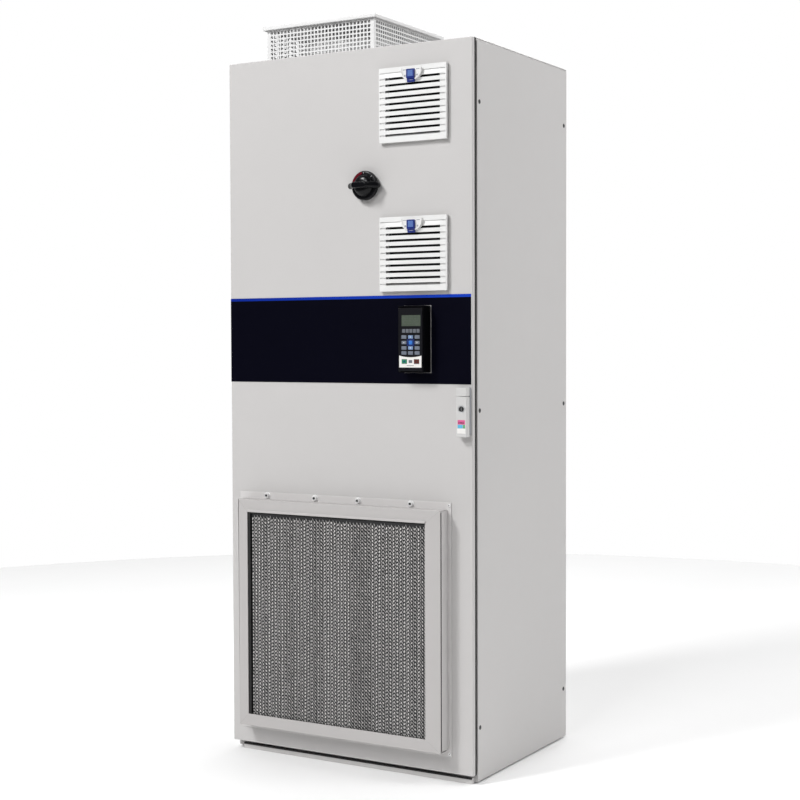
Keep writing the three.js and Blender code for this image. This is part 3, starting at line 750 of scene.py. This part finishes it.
def filterFan(name):
    low, high = span(name + "_grille")
    x, bossTop = (low.x + high.x) / 2, high.z - latch["bossTop"]
    bm = bmesh.new()
    grilleSheet(bm, low, high, x)
    latchBoss(bm, x, bossTop)
    installed(name + "Louvres", bm, whitePlastic, name + "_grille", True)
    bm = bmesh.new()
    latchMarks(bm, x, bossTop)
    installed(name + "LatchMarks", bm, greyPlastic, name + "_grille", slot="white_plastic")
    latchPiece(name, name + "_grille_clip")

    mat = {"half": 78.5, "front": -1.5, "rear": 9}
    x, z = middle(name + "_fan_housing")
    bm = bmesh.new()
    block(bm, (x - mat["half"], doorFace + mat["front"], z - mat["half"]),
          (x + mat["half"], doorFace + mat["rear"], z + mat["half"]), 1.5)
    installed(name + "FilterMat", bm, matFoam, name + "_fan_housing", slot="seal_rubber")
    impeller = name + "_fan_impeller"
    softened(name + "FanWheel", impeller, fanPlastic, 0.4, 1)
    coat(whitePlastic, name + "_fan_housing")


filterFan("upper")
filterFan("lower")

print("isolator")
knob = {"base": 33, "disc": 40.5, "dome": 30.5, "red": (31.4, 37.4), "redFrom": 98, "redTo": 176,
        "mark": (32.6, 35.4), "markHalf": 0.6, "markAngles": (0, 45, 90)}
grip = {"rear": 49.3, "front": 24, "height": 17, "straight": 23, "foot": 9.5, "waist": 0.12, "points": 40}
kx, kz = middle("isolator_handle")
reach = doorFace - span("isolator_handle")[0].y
bm = bmesh.new()
base, disc, dome = knob["base"], knob["disc"], knob["dome"]
profile = [(base, 1), (base + 0.5, 2), (base + 0.5, 7.5), (disc - 1.2, 8.4), (disc, 9.6), (disc, 16.5),
           (disc - 0.8, 18.6), (disc - 2.6, 20), (dome + 2.2, 20.6), (dome + 1.0, 19.4), (dome, 19.6),
           (dome - 0.6, 22.5), (dome - 2.4, 26.5), (dome - 5.5, 30), (dome - 10, 32.8), (dome - 16, 34.6),
           (dome - 23, 35.4), (0, 35.6)]
turned(bm, "y", (kx, doorFace, kz), [(r, -h) for r, h in profile], 64)


def gripLength(t):  # half length of the grip at depth t, from the door outwards
    s = max(0, t - grip["straight"]) / (reach - grip["straight"])
    return grip["rear"] + (grip["front"] - grip["rear"]) * (1 - (1 - s) ** 1.6)


def gripRing(t, shrink):  # a stadium outline, narrower in its waist
    halfHeight = grip["height"] / 2
    long, high = gripLength(t) - shrink, halfHeight - shrink
    waist = 1 - grip["waist"] * math.sin(math.pi * min(1, max(0, (t - 10) / (reach - 10))))
    ring = []
    for i in range(grip["points"]):
        a = 2 * math.pi * i / grip["points"]
        u = (long - halfHeight) * (1 if math.cos(a) > 0 else -1) + high * math.cos(a)
        bulge = 1.0 if abs(u) > long - halfHeight * 1.6 else waist
        ring.append(bm.verts.new((kx + u, doorFace - t, kz + high * bulge * math.sin(a))))
    return ring


# The grip is lofted from outlines that shorten towards the front, with both ends rounded.
foot = grip["foot"]
layers = [(foot, 2.2), (foot + 0.8, 0.8)] + [(t, 0) for t in (12, 18, 23, 26, 30, 34, 38, 43)]
layers += [(reach - 2.4, 0.3), (reach - 0.8, 1.2), (reach, 2.8)]
rings = [gripRing(t, shrink) for t, shrink in layers]
for a, b in zip(rings, rings[1:]):
    for i in range(grip["points"]):
        j = (i + 1) % grip["points"]
        bm.faces.new([a[i], a[j], b[j], b[i]])
bm.faces.new(rings[0])
bm.faces.new(rings[-1])
installed("isolatorKnob", bm, knobPlastic, "isolator_handle", True, smooth=42)

bm = bmesh.new()  # red sector in the ring round the dome
inner, outer = knob["red"]
sector = [(outer, a) for a in range(knob["redFrom"], knob["redTo"] + 1, 6)]
sector += [(inner, a) for a in range(knob["redTo"], knob["redFrom"] - 1, -6)]
outline = [(kx + r * math.cos(math.radians(a)), kz + r * math.sin(math.radians(a))) for r, a in sector]
pushed(bm, "y", outline, doorFace - 19.4, doorFace - 21.8, 0.5)
installed("isolatorRedSector", bm, warningRed, "isolator_handle", slot="key_red")

bm = bmesh.new()  # a ring of plain pale marks on the disc
(inner, outer), w = knob["mark"], knob["markHalf"]
for angle in knob["markAngles"]:
    c, s = math.cos(math.radians(angle)), math.sin(math.radians(angle))
    corners = ((inner, -w), (outer, -w), (outer, w), (inner, w))
    outline = [(kx + r * c - d * s, kz + r * s + d * c) for r, d in corners]
    pushed(bm, "y", outline, doorFace - 19.8, doorFace - 20.9)
installed("isolatorMarks", bm, legend, "isolator_handle", slot="key_grey")
softened("isolatorBase", "isolator_body", knobPlastic, 1.4)

print("keypad")
pad = {"glass": (-27.5, 31.5, 121, 151), "softKeys": (-26, 30, 108.4, 5), "rows": (92, 77, 62.5, 49),
       "columns": (-19.5, 1, 21.5), "key": (15.5, 9.5), "keyProud": 1.3, "pocket": (0.35, 4), "rim": 1.6,
       "panel": (-34.5, 34.5, 10, 42), "panelProud": 0.5, "sag": 4.5}
enterGround = {"side": 5.6, "above": 3.6, "gap": 0.5}
low, high = span("keypad_body")
px, pz, padFace = (low.x + high.x) / 2, low.z, low.y
keySpan = {key: span(key + "_key") for key in ("start", "stop", "enter", "up", "down", "left", "right")}


def grown(box, gap):  # a key's outline as seen from the front, larger by a gap all round
    a, b = box
    return a.x - gap, b.x + gap, a.z - gap, b.z + gap


def within(u, v, boxes):
    return any(a < u < b and c < v < d for a, b, c, d in boxes)


pocketGap, pocketDeep = pad["pocket"]
pockets = [grown(box, pocketGap) for box in keySpan.values()]
glass = [px + x for x in pad["glass"][:2]] + [pz + z for z in pad["glass"][2:]]


def padLevel(u, v):
    if within(u, v, pockets):
        return padFace + pocketDeep
    return padFace + 1.2 if within(u, v, [glass]) else padFace


bm = bmesh.new()
us = sorted({round(c, 3) for box in pockets + [glass] for c in box[:2]} | {low.x, high.x})
vs = sorted({round(c, 3) for box in pockets + [glass] for c in box[2:]} | {low.z, high.z})
stepped(bm, "y", us, vs, high.y, padLevel)
rounded(bm, frontRim(bm, padFace, (low.x, high.x), (low.z, high.z)), pad["rim"])
installed("keypadBody", bm, blackPlastic, "keypad_body", True)
softened("keypadCradle", "keypad_cradle", cradlePlastic, 1.6, 3)

bm = bmesh.new()
left, right, bottom, top = glass
block(bm, (left + 0.2, padFace + 0.5, bottom + 0.2), (right - 0.2, padFace + 1.6, top - 0.2), 0.25)
installed("keypadWindow", bm, crystalWindow("crystal"), "keypad_body", slot="key_grey")


def keyCap(bm, x, z, width, height, proud, corner):
    halfX, halfZ = width / 2, height / 2
    block(bm, (x - halfX, padFace - proud, z - halfZ), (x + halfX, padFace + 0.6, z + halfZ), corner, 3)


bm = bmesh.new()  # five soft keys under the window
start, stop, z, count = pad["softKeys"]
step = (stop - start) / count
for i in range(count):
    keyCap(bm, px + start + (i + 0.5) * step, pz + z, step * 0.84, 10, 0.9, 1.1)
installed("softKeys", bm, softKeyGrey, "keypad_body", slot="key_grey")

bm = bmesh.new()  # the other keys of the block
taken = [middle(key + "_key") for key in keySpan]
for row in pad["rows"]:
    for column in pad["columns"]:
        x, z = px + column, pz + row
        if all(math.hypot(x - a, z - b) > 6 for a, b in taken):
            keyCap(bm, x, z, *pad["key"], pad["keyProud"], 1.4)
installed("plainKeys", bm, keyGrey, "keypad_body", slot="key_grey")

# Arrow keys, each with a triangle that points its way.
arrow = {"radius": 2.3, "corners": (0, 125, 235), "proud": 0.12}
for key, finish, turn in (("up", arrowKey, 90), ("down", arrowKey, 270), ("left", keyGrey, 180),
                          ("right", keyGrey, 0)):
    node = key + "_key"
    softened(node + "Cap", node, finish, 1.4, 3)
    x, z = middle(node)
    front = keySpan[key][0].y
    angles = [math.radians(turn + t) for t in arrow["corners"]]
    outline = [(x + arrow["radius"] * math.cos(a), z + arrow["radius"] * math.sin(a)) for a in angles]
    bm = bmesh.new()
    pushed(bm, "y", outline, front + 0.5, front - arrow["proud"])
    installed(node + "Arrow", bm, legend, node, slot="key_grey")
softened("enterCap", "enter_key", keyBlue, 3.0, 4)
softened("startCap", "start_key", keyGreen, 1.5, 3)
softened("stopCap", "stop_key", keyRed, 1.5, 3)
for key, finish in (("start", keyPad), ("stop", darkMetal)):  # plain round marks
    x, z = middle(key + "_key")
    bm = bmesh.new()
    turned(bm, "y", (x, keySpan[key][0].y, z), [(2.6, 0.5), (2.6, -0.1), (0, -0.1)], 20)
    installed(key + "_keyMark", bm, finish, key + "_key", slot="key_grey")

bm = bmesh.new()  # blue ground round the enter key
a, b = keySpan["enter"]
gap, side, above = enterGround["gap"], enterGround["side"], enterGround["above"]
us = [a.x - side, a.x - gap, b.x + gap, b.x + side]
vs = [a.z - above, a.z - gap, b.z + gap, b.z + above]
framed(bm, "y", us, vs, padFace + 0.5, padFace - 0.35)
installed("enterGround", bm, keyPad, "keypad_body", slot="key_blue")

bm = bmesh.new()  # white lower panel with a hollow top edge
left, right, bottom, top = [px + x for x in pad["panel"][:2]] + [pz + z for z in pad["panel"][2:]]
holes = [grown(keySpan[key], 0.8) for key in ("start", "stop")]
us = sorted({left + i * (right - left) / 16 for i in range(17)} | {c for box in holes for c in box[:2]})
vs = sorted((bottom, top) + holes[0][2:])
stepped(bm, "y", us, vs, padFace + 0.4,
        lambda u, v: None if within(u, v, holes) else padFace - pad["panelProud"])
for v in bm.verts:
    if abs(v.co.z - top) < 0.01:
        v.co.z -= pad["sag"] * (1 - ((v.co.x - px) / pad["panel"][1]) ** 2)
installed("keypadPanel", bm, panelWhite, "keypad_body", slot="white_plastic")
bm = bmesh.new()
block(bm, (px - 5, padFace - 0.75, pz + 22), (px + 6, padFace - 0.2, pz + 30), 0.5)
block(bm, (px - 11, padFace - 0.65, pz + 14.2), (px + 11, padFace - 0.2, pz + 15.6))
installed("keypadPanelMarks", bm, softKeyGrey, "keypad_body", slot="key_grey")

print("door lock")
handle = {"round": 2.2, "sticker": (958, 985), "ring": 10.6}
softened("handleBase", "lock_base", greyPlastic, 1.2)
softened("handleHead", "handle_spindle", handlePaint, handle["round"], 3)
softened("handleLever", "handle_lever", handlePaint, handle["round"], 3)
softened("lockBarrel", "lock_cylinder", darkMetal, 0.5)
hx, leverFace = middle("handle_lever")[0], span("handle_lever")[0].y
bm = bmesh.new()
ring = [(3, 1), (3, -0.6), (2, -1.0), (0.6, -0.7), (0, 0.4)]  # how far inside the rim, and how far out
turned(bm, "y", (hx, leverFace, middle("lock_cylinder")[1]), [(handle["ring"] - r, h) for r, h in ring], 32)
installed("lockRing", bm, zinc, "handle_lever", slot="zinc_steel")
lowZ, highZ = handle["sticker"]
mid = (lowZ + highZ) / 2
patches = {"labelUpper": (labelPink, -11, 11, mid + 1.5, highZ),
           "labelLower": (labelCyan, -11, 4, lowZ + 5, mid + 1),
           "labelSide": (labelGreen, 5, 11, lowZ + 5, mid + 1),
           "labelStrip": (panelWhite, -12.5, 12.5, lowZ - 9, lowZ + 4)}
for name, (finish, left, right, bottom, top) in patches.items():
    bm = bmesh.new()
    block(bm, (hx + left, leverFace - 0.35, bottom), (hx + right, leverFace + 0.3, top), 0.2, 1)
    installed(name, bm, finish, "handle_lever", slot="grey_paint")
bm = bmesh.new()
for i in range(4):
    block(bm, (hx - 8 + i * 4.2, leverFace - 0.55, mid + 4), (hx - 5.8 + i * 4.2, leverFace, mid + 8))
installed("labelMarks", bm, darkMetal, "handle_lever", slot="lock_steel")

print("air intake")
intake = {"bend": 1.8, "opening": (-308, 279, 122, 707), "lip": (6.5, 5.0), "seam": 0.45,
          "seamEnds": (3, 4.68), "flange": 3, "screws": (-270, -105, 39, 209), "screwHeight": 751.5,
          "screwRadius": 8.2, "screwProud": 7, "sideScrews": (753, 78), "sideScrewRadius": 3.4}
low, high = span("intake_bezel")
bezelFace = low.y
left, right, bottom, top = intake["opening"]
folded("intakeBezel", "intake_bezel", bezelPaint, intake["bend"])
# the housing and its flange wear the lighter copy of the paint, painted light
softened("intakeHousing", "intake_housing", litFlangePaint, 0.7)

bm = bmesh.new()  # a lip along the top of the opening
lipHeight, lipProud = intake["lip"]
lipFront = bezelFace - lipProud
section = [(bezelFace + 0.4, top + lipHeight), (bezelFace - 0.3, top + lipHeight), (lipFront, top + 1.2),
           (lipFront + 0.4, top), (bezelFace + 0.4, top)]
pushed(bm, "x", section, left - 1.5, right + 1.5)
installed("intakeRim", bm, bezelPaint, "intake_bezel", slot="grey_paint")

bm = bmesh.new()  # mitre seams at the corners
seamStart, seamStop = intake["seamEnds"]
for ox, ix in ((low.x, left), (high.x, right)):
    for oz, iz in ((low.z, bottom), (high.z, top)):
        run = Vector((ix - ox, iz - oz)).normalized()
        side = Vector((-run.y, run.x)) * intake["seam"] / 2
        a, b = Vector((ox, oz)) + run * seamStart, Vector((ix, iz)) - run * seamStop
        pushed(bm, "y", [a + side, a - side, b - side, b + side], bezelFace + 0.5, bezelFace - 0.12)
installed("intakeMitreSeams", bm, seamPaint, "intake_bezel", slot="grey_paint")

# Flange screws: a cap with a socket in it, and two small ones beside the handle. A dark hexagon in each
# socket is painted shade.
flangeFace = doorFace - intake["flange"]
sideX = span("intake_housing")[1].x - 6
spots = [(x, intake["screwHeight"], intake["screwRadius"]) for x in intake["screws"]]
spots += [(sideX, z, intake["sideScrewRadius"]) for z in intake["sideScrews"]]
bm, socketShades = bmesh.new(), bmesh.new()
for x, z, r in spots:
    p = intake["screwProud"] * r / intake["screwRadius"]
    head = [(r * 1.25, 0.2), (r * 1.25, -0.8), (r, -1.0), (r, -p * 0.6), (r * 0.8, -p), (r * 0.5, -p),
            (r * 0.5, -p * 0.5), (0, -p * 0.5)]
    turned(bm, "y", (x, flangeFace, z), head, 24)
    turned(socketShades, "y", (x, flangeFace, z), [(r * 0.48, -p * 0.4), (r * 0.48, -p * 0.62), (0, -p * 0.62)], 6)
installed("intakeScrews", bm, screwCap, "intake_housing", slot="zinc_steel")
installed("intakeScrewSocketShades", socketShades, darkMetal, "intake_housing", slot="lock_steel")

# The filter: a channel frame round crimped strands of expanded aluminium. The frame is near black and wider
# at the left and top, as painted shade of the recess behind the bezel.
mesh = {"border": (35, 12, 12, 35), "pitch": 11.2, "row": 9.9, "depth": 3.6, "wander": (0.35, 0.2),
        "columnTilt": (-0.30, 0.18), "lift": 0.55}
dash = {"size": (6.4, 3.3, 0.8), "lean": 0.46, "tilt": 0.42}
strand = {"size": (9.4, 1.5, 0.5), "lean": -0.62, "tilt": -0.4, "behind": 0.4}
low, high = span("intake_filter")
edges = ((low.x, 1), (high.x, -1), (low.z, 1), (high.z, -1))
left, right, bottom, top = [edge + sign * width for (edge, sign), width in zip(edges, mesh["border"])]
bm = bmesh.new()
framed(bm, "y", [low.x, left, right, high.x], [low.z, bottom, top, high.z], high.y, low.y)
installed("filterChannelShade", bm, channelShadeMetal, "intake_filter", True)
bm = bmesh.new()  # pleated ground behind the strands, near black as painted shade of the mesh's depth
count = int((right - left) / (mesh["pitch"] / 2))
pleats = [(left + i * (right - left) / count, high.y - (1.7 if i % 2 else 0.9)) for i in range(count + 1)]
pushed(bm, "z", pleats + [(right, high.y - 0.1), (left, high.y - 0.1)], bottom, top)
installed("filterShadeGround", bm, darkMetal, "intake_filter", slot="filter_aluminium", smooth=20)

chance = random.Random(11)
verts, faces = [], []
corners = [(a, b, c) for a in (-0.5, 0.5) for b in (-0.5, 0.5) for c in (-0.5, 0.5)]
sides = [(0, 1, 3, 2), (4, 6, 7, 5), (0, 4, 5, 1), (2, 3, 7, 6), (0, 2, 6, 4), (1, 5, 7, 3)]


def sliver(x, y, z, size, lean, tilt):
    turn = (Matrix.Rotation(lean + chance.uniform(-0.08, 0.08), 3, "Y") @
            Matrix.Rotation(tilt + chance.uniform(-0.15, 0.15), 3, "X"))
    length, width, thick = size
    base = len(verts)
    for a, b, c in corners:
        p = turn @ Vector((a * width, b * thick, c * length))
        verts.append(((x + p.x) * mm, (y + p.y) * mm, (z + p.z) * mm))
    faces.extend(tuple(base + k for k in side) for side in sides)


depth = high.y - mesh["depth"]
for column in range(int((right - left - 6) / mesh["pitch"])):
    columnTilt = chance.uniform(*mesh["columnTilt"])
    lift = chance.uniform(0, mesh["lift"]) * mesh["row"]
    for row in range(int((top - bottom - 9) / mesh["row"])):
        x = left + 7 + column * mesh["pitch"] + chance.uniform(-mesh["wander"][0], mesh["wander"][0])
        z = bottom + 4.5 + row * mesh["row"] + lift + chance.uniform(-mesh["wander"][1], mesh["wander"][1])
        sliver(x, depth, z, dash["size"], dash["lean"], dash["tilt"] + columnTilt)
        sliver(x + mesh["pitch"] / 2, depth + strand["behind"], z + mesh["row"] / 2, strand["size"],
               strand["lean"], strand["tilt"])
strands = bpy.data.meshes.new("filterStrands")
strands.from_pydata(verts, [], faces)
strands.materials.append(meshMetal)
linked("filterStrands", strands, "intake_filter", "filter_aluminium")

print("power parts")
drive = {"coverBend": 5.0, "badge": (60, 330, 250), "screwInset": (14, 16)}
vents = {"width": 240, "rows": 9, "pitch": 9, "slot": 4, "thick": 2.2, "inset": 40, "rib": 8}
softened("driveCase", "drive_chassis", zinc, 0.6)
folded("driveFront", "drive_cover", greyPlastic, drive["coverBend"], 4)
low, high = span("drive_cover")
cx = (low.x + high.x) / 2
half, rib = vents["width"] / 2, vents["rib"]
us = [cx - half, cx - half + rib, cx - rib / 2, cx + rib / 2, cx + half - rib, cx + half]
ventHeight = vents["rows"] * vents["pitch"]
bm = bmesh.new()
for bottom in (low.z + vents["inset"], high.z - vents["inset"] - ventHeight):
    slots = [bottom + i * vents["pitch"] for i in range(vents["rows"])]
    vs = sorted([bottom - 8, bottom + ventHeight + 4] + [z + d for z in slots for d in (0, vents["slot"])])

    def slotted(u, v):
        inSlot = any(z < v < z + vents["slot"] for z in slots)
        between = us[1] < u < us[2] or us[3] < u < us[4]
        return low.y - (0.2 if inSlot and between else vents["thick"])

    stepped(bm, "y", us, vs, low.y + 0.2, slotted)
w, bottom, top = drive["badge"]
corners = ((cx - w, high.z - bottom), (cx + w, high.z - bottom), (cx + w, high.z - top),
           (cx - w, high.z - top))
pushed(bm, "y", corners, low.y + 0.2, low.y - 3, 1.2)
installed("driveVents", bm, fanPlastic, "drive_cover", slot="grey_plastic")
bm = bmesh.new()
insetX, insetZ = drive["screwInset"]
for x in (low.x + insetX, high.x - insetX):
    for z in (low.z + insetZ, high.z - insetZ):
        screw(bm, "y", (x, low.y, z), 4.2, 2.0, -1)
installed("driveCoverScrews", bm, zinc, "drive_cover", slot="zinc_steel")
coat(finMetal, "heatsink")
softened("capacitors", "capacitor_bank", blackPlastic, 1.6)

coat(laminations, "reactor_core")
softened("reactorWindings", "reactor_coils", copper, 4.0, 3)
reactor = {"boltInset": 42, "topBolts": 28, "footBolts": 78}
bm = bmesh.new()  # clamping bolts through the core
low, high = span("reactor_core")
for x in (low.x + reactor["boltInset"], high.x - reactor["boltInset"], 0):
    for z in (high.z - reactor["topBolts"], low.z + reactor["footBolts"]):
        turned(bm, "y", (x, low.y, z), [(11, 0), (11, -1.6), (8, -1.7), (8, -8), (7, -9), (0, -9)], 6)
installed("reactorBolts", bm, zinc, "reactor_core", slot="zinc_steel", smooth=25)

softened("terminals", "terminal_block", greyPlastic, 0.8, 1)
terminals = {"count": 12, "first": 19, "pitch": 21, "inset": 13}
clamp = [(4.4, 0.3), (4.4, -0.6), (3.6, -1.4), (1.2, -1.4), (1.2, -0.6), (0, -0.6)]
low, high = span("terminal_block")
bm = bmesh.new()
for i in range(terminals["count"]):
    x = low.x + terminals["first"] + i * terminals["pitch"]
    for z in (low.z + terminals["inset"], high.z - terminals["inset"]):
        turned(bm, "y", (x, low.y, z), clamp, 16)
installed("terminalScrews", bm, zinc, "terminal_block", slot="zinc_steel")

# Floor, light and camera.
print("stage")
studio = {"floor": 0.88, "reach": 4.2, "front": 0.16, "back": 1.0, "key": (450, 1.8, (-2.6, -5.2, 6.4)),
          "frontFill": (150, 2.4, (0.2, -6.3, 4.7)), "sideFill": (88, 2.5, (4.0, 0.6, 4.2)),
          "backdrop": (110, 3.2, (0.2, 4.6, 5.2)), "aim": (0, -0.1, 1.2)}
bm = bmesh.new()
bmesh.ops.create_circle(bm, cap_ends=True, segments=96, radius=studio["reach"])
floorMesh = bpy.data.meshes.new("floor")
bm.to_mesh(floorMesh)
bm.free()
ground = Finish("floorPaint", {"Specular IOR Level": 0.2, "Roughness": 0.7})
white = (studio["floor"],) * 3
ground.tinted(ground.noise(3, 2.0), white, (1, 1.02))
floorMesh.materials.append(ground.material)
floor = bpy.data.objects.new("floor", floorMesh)
floor.location.z = cadLow.z - 0.0005
bpy.context.scene.collection.objects.link(floor)
floor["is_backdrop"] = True

world = bpy.data.worlds.new("studioWorld")
world.use_nodes = True
sky = world.node_tree  # a pale room, brighter behind the cabinet than in front of it
direction = sky.nodes.new("ShaderNodeTexCoord")
parts = sky.nodes.new("ShaderNodeSeparateXYZ")
fade = sky.nodes.new("ShaderNodeMapRange")
fadeRange = {"From Min": -0.15, "From Max": 0.5, "To Min": studio["front"], "To Max": studio["back"]}
for socket, value in fadeRange.items():
    fade.inputs[socket].default_value = value
sky.links.new(direction.outputs["Generated"], parts.inputs[0])
sky.links.new(parts.outputs["Y"], fade.inputs["Value"])
sky.links.new(fade.outputs[0], sky.nodes["Background"].inputs["Strength"])
sky.nodes["Background"].inputs["Color"].default_value = (1, 1, 1, 1)
bpy.context.scene.world = world

for name in ("key", "frontFill", "sideFill", "backdrop"):  # the key stands high on the left
    power, size, place = studio[name]
    lamp = bpy.data.lights.new(name + "Light", "AREA")
    lamp.energy, lamp.shape, lamp.size = power, "DISK", size
    lampObject = bpy.data.objects.new(name + "Light", lamp)
    lampObject.location = place
    lampObject.rotation_mode = "QUATERNION"
    lampObject.rotation_quaternion = (Vector(studio["aim"]) - Vector(place)).to_track_quat("-Z", "Y")
    bpy.context.scene.collection.objects.link(lampObject)
bpy.context.scene.view_settings.view_transform = "Standard"

view = {"side": 2.310, "fromDoor": 3.618, "height": 1.191, "yaw": -0.5334, "pitch": -0.0373,
        "roll": -0.0032, "lens": 69.2}
yaw, pitch, roll = view["yaw"], view["pitch"], view["roll"]
ahead = Vector((math.sin(yaw) * math.cos(pitch), math.cos(yaw) * math.cos(pitch), math.sin(pitch)))
level = Vector((math.cos(yaw), -math.sin(yaw), 0))
upright = level.cross(ahead)
right = level * math.cos(roll) + upright * math.sin(roll)
up = upright * math.cos(roll) - level * math.sin(roll)
camera = bpy.data.cameras.new("camera")
camera.lens, camera.sensor_width = view["lens"], 36
cameraObject = bpy.data.objects.new("camera", camera)
place = Matrix.Translation((view["side"], doorFace * mm - view["fromDoor"], view["height"]))
cameraObject.matrix_world = place @ Matrix((right, up, -ahead)).transposed().to_4x4()
bpy.context.scene.collection.objects.link(cameraObject)
bpy.context.scene.camera = cameraObject

low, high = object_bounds()
